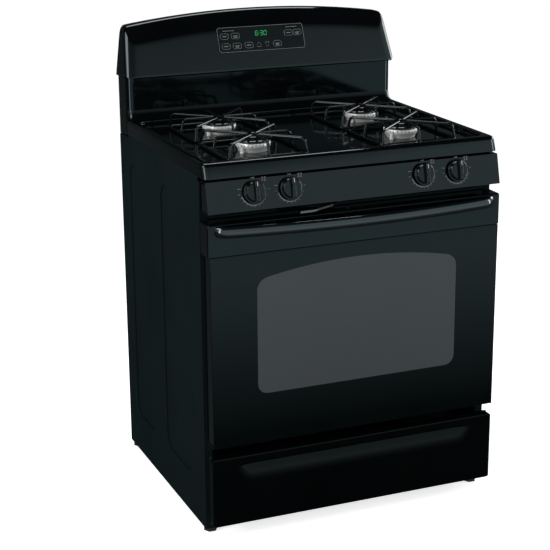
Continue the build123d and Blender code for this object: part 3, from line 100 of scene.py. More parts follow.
class Shape:
    """A mesh under construction, shaped with bmesh operators."""

    def __init__(self) -> None:
        """Starts with no geometry."""
        self.bm = bmesh.new()

    def add(self, other: "Shape", matrix: Matrix | None = None) -> "Shape":
        """Takes in another shape's geometry.

        Args:
            other: Shape that is used up.
            matrix: Place for it.

        Returns:
            This shape.
        """
        mesh = bpy.data.meshes.new("joined")
        other.bm.to_mesh(mesh)
        other.bm.free()
        if matrix is not None:
            mesh.transform(matrix)
        self.bm.from_mesh(mesh)
        bpy.data.meshes.remove(mesh)
        return self

    def outwards(self) -> "Shape":
        """Merges doubles and turns the faces outwards.

        Returns:
            This shape.
        """
        bmesh.ops.remove_doubles(self.bm, verts=self.bm.verts, dist=MERGE)
        bmesh.ops.recalc_face_normals(self.bm, faces=self.bm.faces)
        return self

    def round_edges(self, edges: Iterable[BMEdge], radius: float, segments: int = 3) -> None:
        """Rounds edges to a radius.

        Args:
            edges: Edges to round.
            radius: Width of the round on each side.
            segments: Number of strips across it.
        """
        bmesh.ops.bevel(self.bm, geom=list(edges), offset=radius, offset_type="OFFSET", segments=segments,
                        profile=0.5, affect="EDGES", clamp_overlap=True, material=-1)

    def ring(self, corners: Sequence[Point], radius: float, segments: int = 8) -> list[BMEdge]:
        """Makes a closed loop of edges through corners that are rounded to a radius.

        Args:
            corners: Corner points in order.
            radius: Radius at each corner.
            segments: Number of spans at each corner.

        Returns:
            The edges of the loop.
        """
        face = self.sheet(corners, radius, segments)
        edges = list(face.edges)
        bmesh.ops.delete(self.bm, geom=[face], context="FACES_ONLY")
        return edges

    def sheet(self, corners: Sequence[Point], radius: float = 0.0, segments: int = 8) -> BMFace:
        """Makes one flat face with rounded corners.

        Args:
            corners: Corner points in order.
            radius: Radius at each corner.
            segments: Number of spans at each corner.

        Returns:
            The face.
        """
        verts = [self.bm.verts.new(c) for c in corners]
        face = self.bm.faces.new(verts)
        return self.round_corners(face, verts, radius, segments) if radius else face

    def round_corners(self, face: BMFace, verts: list[BMVert], radius: float, segments: int = 8) -> BMFace:
        """Rounds corners of a flat face that stands alone.

        Args:
            face: Face to round.
            verts: Its corners that are rounded.
            radius: Radius at each corner.
            segments: Number of spans at each corner.

        Returns:
            The rounded face.
        """
        others = [f for f in self.bm.faces if f != face]
        bmesh.ops.bevel(self.bm, geom=verts, offset=radius, offset_type="OFFSET", segments=segments, profile=0.5,
                        affect="VERTICES", clamp_overlap=False, material=-1)
        return next(f for f in self.bm.faces if f not in others)

    def thicken(self, faces: list[BMFace], push: Point) -> list[BMFace]:
        """Extrudes flat faces into a closed slab.

        Args:
            faces: Faces to extrude, which stay as the back.
            push: Way and distance to the front.

        Returns:
            The faces at the front.
        """
        made = bmesh.ops.extrude_face_region(self.bm, geom=faces, use_keep_orig=True)["geom"]
        bmesh.ops.translate(self.bm, verts=only(BMVert, made), vec=push)
        return only(BMFace, made)

    def block(self, low: Point, high: Point, radius: float = 0.0, segments: int = 3) -> "Shape":
        """Adds a box between two corners with rounded edges.

        Args:
            low: Lowest corner.
            high: Highest corner.
            radius: Radius of the edges.
            segments: Number of strips on each round.

        Returns:
            This shape.
        """
        size = Vector(high) - Vector(low)
        place = Matrix.Translation((Vector(low) + Vector(high)) / 2) @ Matrix.Diagonal((*size, 1))
        verts = bmesh.ops.create_cube(self.bm, size=1, matrix=place)["verts"]
        if radius:
            self.round_edges({e for v in verts for e in v.link_edges}, radius, segments)
        return self

    def plate(self, size: Pair, corner: float, thick: float, edge: float = 0.0) -> "Shape":
        """Adds a plate in the XY plane with round corners, its face up.

        Args:
            size: Width and height.
            corner: Radius at the corners.
            thick: Thickness, from zero up.
            edge: Radius round the upper face.

        Returns:
            This shape.
        """
        x, y = size[0] / 2, size[1] / 2
        face = self.sheet([(-x, -y, 0), (x, -y, 0), (x, y, 0), (-x, y, 0)], corner)
        front = self.thicken([face], (0, 0, thick))
        if edge:
            self.round_edges(front[0].edges, edge)
        return self.outwards()

    def band(self, size: Pair, corner: float, line: float, thick: float) -> "Shape":
        """Adds a thin outline in the XY plane with round corners.

        Args:
            size: Outer width and height.
            corner: Outer radius at the corners.
            line: Width of the line.
            thick: Thickness, from zero up.

        Returns:
            This shape.
        """
        edges: list[BMEdge] = []
        for inset in (0.0, line):
            x, y = size[0] / 2 - inset, size[1] / 2 - inset
            edges += self.ring([(-x, -y, 0), (x, -y, 0), (x, y, 0), (-x, y, 0)], corner - inset, 4)
        faces = bmesh.ops.bridge_loops(self.bm, edges=edges)["faces"]
        self.thicken(faces, (0, 0, thick))
        return self.outwards()

    def fan(self, radii: Pair, turn: Pair, thick: float, thin: float = 1.0,
            steps: int = 40) -> "Shape":
        """Adds a flat arc in the XY plane that may taper along its length.

        Args:
            radii: Inner and outer radius.
            turn: First angle and a larger last one, in degrees from the X axis.
            thick: Thickness, from zero up.
            thin: Share of the width that is left at the last angle.
            steps: Number of spans.

        Returns:
            This shape.
        """
        ends = [self.bm.verts.new((r, 0, 0)) for r in radii]
        start = self.bm.edges.new(ends)
        bmesh.ops.rotate(self.bm, verts=ends, cent=(0, 0, 0), matrix=Matrix.Rotation(radians(turn[0]), 3, "Z"))
        sweep = radians(turn[1] - turn[0])
        bmesh.ops.spin(self.bm, geom=[*ends, start], cent=(0, 0, 0), axis=(0, 0, 1), angle=sweep, steps=steps)
        for vert in self.bm.verts:
            share = (atan2(vert.co.y, vert.co.x) - radians(turn[0])) % (2 * pi) / sweep
            reach = vert.co.length
            width = (reach - radii[0]) * (1 - (1 - thin) * min(share, 1.0))
            vert.co *= (radii[0] + width) / reach
        self.thicken(list(self.bm.faces), (0, 0, thick))
        return self.outwards()

    def drape(self, cells: tuple[int, int], spot: Callable[[float, float], Point]) -> list:
        """Adds a grid bent over a surface, and a wall that starts at its border.

        Args:
            cells: Number of cells along the grid's two sides.
            spot: Gives a point of the surface from two shares, each from -1 to 1.

        Returns:
            The wall's new corners, edges and faces, still on the border.
        """
        bmesh.ops.create_grid(self.bm, x_segments=cells[0], y_segments=cells[1], size=1)
        for vert in self.bm.verts:
            vert.co = spot(vert.co.x, vert.co.y)
        rim = [e for e in self.bm.edges if e.is_boundary]
        return bmesh.ops.extrude_edge_only(self.bm, edges=rim)["geom"]

    def lathe(self, profile: Outline, steps: int = 64, closed: bool = False) -> "Shape":
        """Turns a profile about the Z axis.

        Args:
            profile: Points of radius and height.
            steps: Number of spans round the axis.
            closed: Whether the profile's end joins its start.

        Returns:
            This shape.
        """
        verts = [self.bm.verts.new((r, 0, z)) for r, z in profile]
        edges = [self.bm.edges.new(pair) for pair in zip(verts, verts[1:])]
        if closed:
            edges.append(self.bm.edges.new((verts[-1], verts[0])))
        bmesh.ops.spin(self.bm, geom=[*verts, *edges], cent=(0, 0, 0), axis=(0, 0, 1), angle=2 * pi,
                       steps=steps, use_merge=True)
        return self.outwards()

    def sweep(self, section: list[BMEdge], points: Sequence[Vector], bend: float, closed: bool = False) -> None:
        """Carries a closed section along straight runs joined by round bends.

        Args:
            section: Edges of the section, which stand at the first point across the first run.
            points: Corner points of the path.
            bend: Radius of the path at each corner.
            closed: Whether the path ends where it starts, along the same line.
        """
        here, edges = points[0], section
        first = list(section)
        for index in range(1, len(points)):
            corner = points[index]
            way = (corner - points[index - 1]).normalized()
            back = 0.0
            if index < len(points) - 1:
                following = (points[index + 1] - corner).normalized()
                turn = way.angle(following)
                back = bend * tan(turn / 2)
            run = (corner - here).dot(way) - back
            made = bmesh.ops.extrude_edge_only(self.bm, edges=edges)["geom"]
            bmesh.ops.translate(self.bm, verts=only(BMVert, made), vec=way * run)
            edges = only(BMEdge, made)
            here = corner - way * back
            if back:
                axis = way.cross(following).normalized()
                centre = here + axis.cross(way) * bend
                steps = max(3, round(turn / radians(12)))
                spun = bmesh.ops.spin(self.bm, geom=[*{v for e in edges for v in e.verts}, *edges], cent=centre,
                                      axis=axis, angle=turn, steps=steps)
                edges = only(BMEdge, spun["geom_last"])
                here = corner + following * back
        if not closed:
            for end in (first, edges):
                bmesh.ops.edgeloop_fill(self.bm, edges=end)

    def wire(self, points: Sequence[Point], radius: float, bend: float, closed: bool = False,
             sides: int = 10) -> "Shape":
        """Adds a round wire through corner points.

        Args:
            points: Corner points; a closed wire starts and ends in the middle of one run.
            radius: Radius of the wire.
            bend: Radius of the wire's middle at each corner.
            closed: Whether the wire is a loop.
            sides: Number of faces round the wire.

        Returns:
            This shape.
        """
        path = [Vector(p) for p in points]
        turn = (path[1] - path[0]).to_track_quat("Z", "Y").to_matrix().to_4x4()
        verts = bmesh.ops.create_circle(self.bm, segments=sides, radius=radius,
                                        matrix=Matrix.Translation(path[0]) @ turn)["verts"]
        self.sweep(list({e for v in verts for e in v.link_edges}), path, bend, closed)
        return self.outwards()

    def words(self, text: str, size: float, thick: float) -> "Shape":
        """Adds plain lettering in the XY plane, centred on the origin.

        Args:
            text: Letters or numbers.
            size: Height of the type.
            thick: Thickness.

        Returns:
            This shape.
        """
        curve = bpy.data.curves.new("lettering", "FONT")
        curve.body = text
        curve.size = size
        curve.extrude = thick / 2
        curve.resolution_u = 3
        curve.align_x = "CENTER"
        curve.align_y = "CENTER"
        holder = bpy.data.objects.new("lettering", curve)
        bpy.context.scene.collection.objects.link(holder)
        bpy.context.view_layer.update()
        mesh = bpy.data.meshes.new_from_object(holder)
        mesh.transform(Matrix.Translation((0, 0, thick / 2)))
        self.bm.from_mesh(mesh)
        bpy.data.objects.remove(holder)
        bpy.data.curves.remove(curve)
        bpy.data.meshes.remove(mesh)
        bmesh.ops.remove_doubles(self.bm, verts=self.bm.verts, dist=MERGE)
        return self

    def piece(self, name: str, body: str, slot: str, *finishes: "Finish", replaces: Sequence[str] = ()
              ) -> bpy.types.Object:
        """Makes the finished object and hangs it on its body.

        Args:
            name: Name of the piece.
            body: Body that it moves with.
            slot: Name of its material slot; not used.
            finishes: Finishes in the order of the faces' material numbers.
            replaces: Solids that it stands for.

        Returns:
            The object, at the origin.
        """
        mesh = bpy.data.meshes.new(name)
        self.bm.to_mesh(mesh)
        self.bm.free()
        mesh.shade_smooth()
        mesh.set_sharp_from_angle(angle=SMOOTH_BELOW)
        made = bpy.data.objects.new(name, mesh)
        bpy.context.scene.collection.objects.link(made)
        for finish in finishes:
            mesh.materials.append(finish.material())
        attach(made, body)
        if replaces:
            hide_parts(*replaces)
        LOG.info("%s: %d faces on %s", name, len(mesh.polygons), body)
        return made


class Nodes:
    """Places and joins the nodes of one shader tree."""

    def __init__(self, tree: bpy.types.NodeTree) -> None:
        """Holds the tree."""
        self.tree = tree

    def add(self, kind: str, inputs: dict | None = None, **settings: object) -> bpy.types.Node:
        """Adds a node.

        Args:
            kind: Blender's name for the node type.
            inputs: Values, or sockets to join, by the input's name or number.
            settings: Properties of the node.

        Returns:
            The node.
        """
        node = self.tree.nodes.new(kind)
        for key, value in settings.items():
            setattr(node, key, value)
        for socket, value in (inputs or {}).items():
            if isinstance(value, Socket):
                self.tree.links.new(value, node.inputs[socket])
            else:
                node.inputs[socket].default_value = value
        return node

    def noise(self, scale: object, detail: float = 3.0, stretch: Point = (1, 1, 1)) -> Socket:
        """Adds a noise on the object's own coordinates.

        Args:
            scale: Number or socket for the scale.
            detail: Levels of detail.
            stretch: Factor on each axis.

        Returns:
            The noise's value.
        """
        place = self.add("ShaderNodeTexCoord").outputs["Object"]
        place = self.add("ShaderNodeMapping", {"Vector": place, "Scale": stretch}).outputs["Vector"]
        return self.add("ShaderNodeTexNoise", {"Vector": place, "Scale": scale, "Detail": detail}).outputs[0]

    def cells(self, scale: object, output: str = "Distance", **settings: object) -> Socket:
        """Adds a cell pattern on the object's own coordinates.

        Args:
            scale: Number or socket for the scale.
            output: Output that is used.
            settings: Properties of the node.

        Returns:
            The pattern's value.
        """
        place = self.add("ShaderNodeTexCoord").outputs["Object"]
        return self.add("ShaderNodeTexVoronoi", {"Vector": place, "Scale": scale}, **settings).outputs[output]

    def spread(self, value: object, low: object, high: object, source: Pair = (0.3, 0.7)
               ) -> Socket:
        """Maps a value to a range.

        Args:
            value: Socket to map.
            low: Number or socket for the low end.
            high: Number or socket for the high end.
            source: Range that the value comes in.

        Returns:
            The mapped value.
        """
        inputs = {"Value": value, "From Min": source[0], "From Max": source[1], "To Min": low, "To Max": high}
        return self.add("ShaderNodeMapRange", inputs).outputs[0]

    def maths(self, operation: str, first: object, second: object) -> Socket:
        """Adds a sum of two values and returns it."""
        return self.add("ShaderNodeMath", {0: first, 1: second}, operation=operation).outputs[0]

    def mix(self, share: object, first: object, second: object) -> Socket:
        """Adds a mix of two colours by a share and returns it."""
        return self.add("ShaderNodeMix", {0: share, 6: first, 7: second}, data_type="RGBA").outputs[2]


class Effect(Enum):
    """Surface effects that finishes share, each a shader node group."""

    TINT = "Tint drift"
    RUB = "Rubbed gloss"
    RIPPLE = "Enamel ripple"
    GRAIN = "Mould grain"
    BRUSHED = "Brushed lines"
    CAST = "Cast pits"
    SPANGLE = "Zinc spangle"
    BRAID = "Braid"
    FIBRE = "Wool fibre"
    FLECKS = "Enamel flecks"
    DOTS = "Dot screen"

    def tree(self) -> bpy.types.NodeTree:
        """Gives the effect's node group, built on first use."""
        found = bpy.data.node_groups.get(self.value)
        return found or EffectBuilder(self).tree


class EffectBuilder:
    """Builds the node group of one effect."""

    SOCKETS = {"Dark": "NodeSocketColor", "Light": "NodeSocketColor", "Color": "NodeSocketColor"}
    INPUTS = {Effect.TINT: ("Dark", "Light", "Scale"), Effect.RUB: ("Low", "High", "Scale"),
              Effect.FLECKS: ("Scale", "Amount"), Effect.DOTS: ("Scale", "Amount")}
    OUTPUTS = {Effect.TINT: "Color", Effect.RUB: "Value", Effect.FLECKS: "Mask", Effect.DOTS: "Mask"}

    def __init__(self, effect: Effect) -> None:
        """Makes the group with its sockets and fills it.

        Args:
            effect: Effect to build.
        """
        self.tree = bpy.data.node_groups.new(effect.value, "ShaderNodeTree")
        inputs, output = self.INPUTS.get(effect, ("Scale",)), self.OUTPUTS.get(effect, "Height")
        for name in inputs:
            kind = self.SOCKETS.get(name, "NodeSocketFloat")
            self.tree.interface.new_socket(name=name, in_out="INPUT", socket_type=kind)
        kind = self.SOCKETS.get(output, "NodeSocketFloat")
        self.tree.interface.new_socket(name=output, in_out="OUTPUT", socket_type=kind)
        self.nodes = Nodes(self.tree)
        self.given = self.nodes.add("NodeGroupInput").outputs
        self.scale = self.given["Scale"]
        result = getattr(self, effect.name.lower())()
        self.nodes.add("NodeGroupOutput", {output: result})

    def tint(self) -> Socket:
        """Drifts slowly between two colours."""
        share = self.nodes.spread(self.nodes.noise(self.scale, 5.0), 0.0, 1.0)
        return self.nodes.mix(share, self.given["Dark"], self.given["Light"])

    def rub(self) -> Socket:
        """Varies the gloss in soft wiped patches."""
        wiped = self.nodes.noise(self.scale, 4.0, (1.0, 1.0, 0.35))
        return self.nodes.spread(wiped, self.given["Low"], self.given["High"])

    def ripple(self) -> Socket:
        """Gives the slow waves of fired enamel."""
        return self.nodes.noise(self.scale, 1.5)

    def grain(self) -> Socket:
        """Gives the fine even pebble of moulded plastic."""
        return self.nodes.cells(self.scale, feature="SMOOTH_F1")

    def brushed(self) -> Socket:
        """Gives fine lines along X."""
        return self.nodes.noise(self.scale, 4.0, (0.02, 1.0, 1.0))

    def cast(self) -> Socket:
        """Gives the soft pits of a casting.

        Returns:
            The height.
        """
        rough = self.nodes.noise(self.scale, 6.0)
        pits = self.nodes.spread(self.nodes.cells(self.scale), 0.0, 1.0, (0.0, 0.4))
        return self.nodes.maths("MULTIPLY", rough, pits)

    def spangle(self) -> Socket:
        """Gives the flat crystals of zinc plating."""
        crystal = self.nodes.add("ShaderNodeSeparateColor", {0: self.nodes.cells(self.scale, "Color")})
        return self.nodes.maths("ADD", crystal.outputs[0], self.nodes.noise(self.scale, 6.0))

    def braid(self) -> Socket:
        """Gives two crossing sets of yarns.

        Returns:
            The height.
        """
        place = self.nodes.add("ShaderNodeTexCoord").outputs["Object"]
        yarns = []
        for lean in (0.8, -0.8):
            turned = self.nodes.add("ShaderNodeMapping", {"Vector": place, "Rotation": (lean, lean, 0.0)})
            wave = {"Vector": turned.outputs[0], "Scale": self.scale, "Distortion": 0.4}
            yarns.append(self.nodes.add("ShaderNodeTexWave", wave, bands_direction="DIAGONAL").outputs[1])
        return self.nodes.maths("MAXIMUM", *yarns)

    def fibre(self) -> Socket:
        """Gives a tangle of long fibres."""
        along = self.nodes.noise(self.scale, 8.0, (0.15, 1.0, 1.0))
        return self.nodes.maths("MAXIMUM", along, self.nodes.noise(self.scale, 8.0, (1.0, 0.2, 0.6)))

    def flecks(self) -> Socket:
        """Gives small scattered specks."""
        far = self.nodes.cells(self.scale)
        return self.nodes.maths("LESS_THAN", far, self.given["Amount"])

    def dots(self) -> Socket:
        """Gives an even screen of printed dots.

        Returns:
            The mask.
        """
        place = self.nodes.add("ShaderNodeTexCoord").outputs["Object"]
        inputs = {"Vector": place, "Scale": self.scale, "Randomness": 0.0}
        far = self.nodes.add("ShaderNodeTexVoronoi", inputs).outputs["Distance"]
        return self.nodes.maths("LESS_THAN", far, self.given["Amount"])


@dataclass(frozen=True)
class Finish:
    """One material: a drifting colour, a patchy gloss and a fine relief."""

    name: str
    dark: Point
    light: Point
    rough: Pair
    relief: Effect = Effect.RIPPLE
    relief_scale: float = 60.0
    relief_depth: float = 0.0002
    drift: float = 6.0
    specular: float = 0.5
    tint: Point = (1.0, 1.0, 1.0)
    metallic: float = 0.0
    glow: float = 0.0
    clear: float = 0.0
    fleck: Effect | None = None
    fleck_colour: Point = (0.5, 0.5, 0.5)
    fleck_scale: float = 300.0
    fleck_amount: float = 0.2

    def material(self) -> bpy.types.Material:
        """Gives the material, built on first use."""
        found = bpy.data.materials.get(f"{self.name}_finish")
        return found or self.build()

    def build(self) -> bpy.types.Material:
        """Builds the material's nodes.

        Returns:
            The new material.
        """
        made = bpy.data.materials.new(f"{self.name}_finish")
        made.use_nodes = True
        nodes = Nodes(made.node_tree)
        shader = made.node_tree.nodes["Principled BSDF"]
        plain = {"Metallic": self.metallic, "Specular IOR Level": self.specular, "Transmission Weight": self.clear,
                 "Emission Strength": self.glow}
        for socket, value in plain.items():
            shader.inputs[socket].default_value = value
        shader.inputs["Specular Tint"].default_value = (*self.tint, 1)
        colour = self.effect(nodes, Effect.TINT, "Color", Dark=(*self.dark, 1), Light=(*self.light, 1),
                             Scale=self.drift)
        if self.fleck:
            mask = self.effect(nodes, self.fleck, "Mask", Scale=self.fleck_scale, Amount=self.fleck_amount)
            colour = nodes.mix(mask, colour, (*self.fleck_colour, 1))
        gloss = self.effect(nodes, Effect.RUB, "Value", Low=self.rough[0], High=self.rough[1],
                            Scale=2.5 * self.drift)
        height = self.effect(nodes, self.relief, "Height", Scale=self.relief_scale)
        bump = nodes.add("ShaderNodeBump", {"Strength": 1.0, "Distance": self.relief_depth, "Height": height})
        targets = {"Base Color": colour, "Roughness": gloss, "Normal": bump.outputs["Normal"]}
        if self.glow:
            targets["Emission Color"] = colour
        for socket, source in targets.items():
            made.node_tree.links.new(source, shader.inputs[socket])
        return made

    @staticmethod
    def effect(nodes: Nodes, effect: Effect, output: str, **values: object) -> Socket:
        """Places a shared effect in the material.

        Args:
            nodes: The material's nodes.
            effect: Effect to place.
            output: Output that is used.
            values: Values for its inputs.

        Returns:
            The effect's output.
        """
        return nodes.add("ShaderNodeGroup", values, node_tree=effect.tree()).outputs[output]


TEAL = (0.86, 0.98, 1.0)  # the cool cast of the black surfaces
DEEP_TEAL = (0.688, 0.951, 1.0)  # the same on the door and the riser
BLACK_ENAMEL = Finish("black_enamel", (0.0008, 0.0013, 0.0015), (0.0014, 0.002, 0.0022), (0.05, 0.09),
                      relief_depth=0.00003, specular=0.34, tint=TEAL)
BAND_ENAMEL = Finish("band_enamel", (0.001, 0.0018, 0.002), (0.0016, 0.0025, 0.0028), (0.06, 0.1),
                     relief_depth=0.00003, specular=0.22, tint=DEEP_TEAL)
# The drawer front's enamel: a darker, less glossy copy of the black enamel, painted shade for the shadowed floor that
# the drawer reflects.
DRAWER_PAINTED_SHADE = Finish("drawer_painted_shade", (0.0006, 0.0012, 0.0014), (0.001, 0.0018, 0.002), (0.06, 0.1),
                       relief_depth=0.00003, specular=0.11, tint=TEAL)
SIDE_ENAMEL = Finish("side_enamel", (0.0062, 0.0108, 0.012), (0.0078, 0.0128, 0.0142), (0.4, 0.5),
                     relief_scale=220.0, relief_depth=0.00005, specular=0.003, tint=TEAL)
CONSOLE_GLOSS = Finish("console_gloss", (0.0008, 0.0013, 0.0015), (0.0014, 0.002, 0.0022), (0.04, 0.08),
                       relief_scale=40.0, relief_depth=0.00003, specular=0.36, tint=TEAL)
DOOR_GLASS = Finish("door_black_glass", (0.001, 0.0018, 0.002), (0.0014, 0.0024, 0.0027), (0.03, 0.06),
                    relief_scale=12.0, relief_depth=0.00003, specular=0.19, tint=DEEP_TEAL)
WINDOW_FILM = Finish("oven_window_film", (0.049, 0.057, 0.063), (0.052, 0.06, 0.066), (0.06, 0.1),
                     relief_scale=12.0, relief_depth=0.00003, specular=0.14, tint=TEAL, fleck=Effect.DOTS,
                     fleck_colour=(0.068, 0.076, 0.083), fleck_scale=700.0, fleck_amount=0.4)
INNER_GLASS = Finish("door_inner_pane", (0.75, 0.8, 0.78), (0.8, 0.84, 0.82), (0.02, 0.05), relief_scale=9.0,
                     relief_depth=0.00005, clear=0.9)
TOUCH_FACE = Finish("touch_face", (0.0016, 0.0028, 0.0032), (0.0024, 0.0038, 0.0042), (0.08, 0.14), Effect.GRAIN, 900.0,
                    0.00001, specular=0.2, tint=TEAL)
HANDLE_GLOSS = Finish("handle_gloss", (0.003, 0.0042, 0.0046), (0.004, 0.0054, 0.0058), (0.05, 0.09), Effect.GRAIN,
                      300.0, 0.00001, specular=0.7, tint=TEAL)
KNOB_PLASTIC = Finish("knob_plastic", (0.002, 0.003, 0.0033), (0.003, 0.0042, 0.0046), (0.08, 0.14), Effect.GRAIN,
                      600.0, 0.00001, specular=0.3, tint=TEAL)
BURNER_ALUMINIUM = Finish("burner_aluminium", (0.78, 0.78, 0.77), (0.86, 0.86, 0.85), (0.3, 0.42), Effect.CAST,
                          260.0, 0.00003, 30.0, metallic=0.2)
CAP_ENAMEL = Finish("cap_enamel", (0.003, 0.0038, 0.004), (0.005, 0.0058, 0.006), (0.07, 0.13), relief_scale=90.0,
                    relief_depth=0.00003, specular=0.36, tint=TEAL)
GRATE_ENAMEL = Finish("grate_enamel", (0.0015, 0.002, 0.0022), (0.0024, 0.003, 0.0032), (0.07, 0.12),
                      relief_scale=60.0, relief_depth=0.00001, specular=0.28, tint=TEAL)
IGNITER_CERAMIC = Finish("igniter_ceramic", (0.78, 0.76, 0.71), (0.86, 0.85, 0.81), (0.25, 0.4), Effect.GRAIN,
                         700.0, 0.00005, 90.0)
OVEN_ENAMEL = Finish("oven_enamel", (0.035, 0.04, 0.048), (0.05, 0.055, 0.064), (0.12, 0.22), relief_scale=90.0,
                     fleck=Effect.FLECKS, fleck_colour=(0.42, 0.45, 0.48), fleck_scale=260.0, fleck_amount=0.16)
BURNER_STEEL = Finish("burner_steel", (0.36, 0.35, 0.33), (0.48, 0.47, 0.45), (0.3, 0.45), Effect.BRUSHED, 400.0,
                      0.00008, 14.0, metallic=1.0)
FLUE_STEEL = Finish("flue_steel", (0.012, 0.0115, 0.011), (0.024, 0.023, 0.021), (0.5, 0.7), Effect.CAST, 200.0,
                    0.0001, 30.0, specular=0.2)
RACK_CHROME = Finish("rack_chrome", (0.72, 0.73, 0.74), (0.84, 0.85, 0.86), (0.08, 0.16), relief_scale=200.0,
                     relief_depth=0.00005, drift=25.0, metallic=1.0)
GASKET_WEAVE = Finish("gasket_weave", (0.08, 0.085, 0.09), (0.16, 0.165, 0.17), (0.7, 0.9), Effect.BRAID, 160.0,
                      0.0012, 120.0, specular=0.2)
WOOL = Finish("insulation_wool", (0.55, 0.5, 0.36), (0.75, 0.7, 0.52), (0.85, 0.95), Effect.FIBRE, 140.0, 0.003,
              18.0, specular=0.1)
ZINC_STEEL = Finish("zinc_steel", (0.46, 0.48, 0.49), (0.62, 0.64, 0.65), (0.3, 0.44), Effect.SPANGLE, 70.0,
                    0.00003, 40.0, metallic=0.6)
DRAWER_STEEL = Finish("drawer_steel", (0.03, 0.033, 0.036), (0.045, 0.048, 0.052), (0.35, 0.5), relief_scale=240.0,
                      relief_depth=0.0001, specular=0.4)
LATCH_STEEL = Finish("latch_steel", (0.08, 0.083, 0.086), (0.13, 0.134, 0.138), (0.25, 0.36), Effect.BRUSHED, 500.0,
                     0.00003, 30.0, metallic=1.0)
VALVE_BRASS = Finish("valve_brass", (0.62, 0.46, 0.2), (0.74, 0.57, 0.27), (0.25, 0.38), Effect.CAST, 300.0, 0.0001,
                     40.0, metallic=1.0)
TUBE_ALUMINIUM = Finish("tube_aluminium", (0.6, 0.6, 0.6), (0.72, 0.72, 0.71), (0.3, 0.45), Effect.BRUSHED, 350.0,
                        0.00008, 30.0, metallic=1.0)
CONTROL_BOX = Finish("control_box", (0.04, 0.041, 0.042), (0.055, 0.056, 0.058), (0.4, 0.55), Effect.GRAIN, 600.0)
GLAND_RUBBER = Finish("gland_rubber", (0.012, 0.012, 0.013), (0.02, 0.02, 0.021), (0.55, 0.75), Effect.GRAIN, 800.0)
WHITE_INK = Finish("white_ink", (0.55, 0.57, 0.58), (0.66, 0.68, 0.69), (0.35, 0.5), Effect.GRAIN, 1500.0, 0.00002,
                   200.0)
GREY_INK = Finish("grey_ink", (0.2, 0.22, 0.22), (0.27, 0.29, 0.29), (0.35, 0.5), Effect.GRAIN, 1500.0, 0.00002,
                  200.0)
RED_INK = Finish("red_ink", (0.24, 0.035, 0.035), (0.3, 0.05, 0.045), (0.35, 0.5), Effect.GRAIN, 1500.0, 0.00002,
                 200.0)
BLACK_INK = Finish("black_ink", (0.001, 0.0012, 0.0014), (0.002, 0.0024, 0.0026), (0.12, 0.2), Effect.GRAIN, 1500.0,
                   0.00002, 200.0, specular=0.15)
CLOCK_GLOW = Finish("clock_glow", (0.02, 0.42, 0.1), (0.03, 0.55, 0.14), (0.3, 0.4), Effect.GRAIN, 1500.0, 0.00002,
                    200.0, glow=0.22)


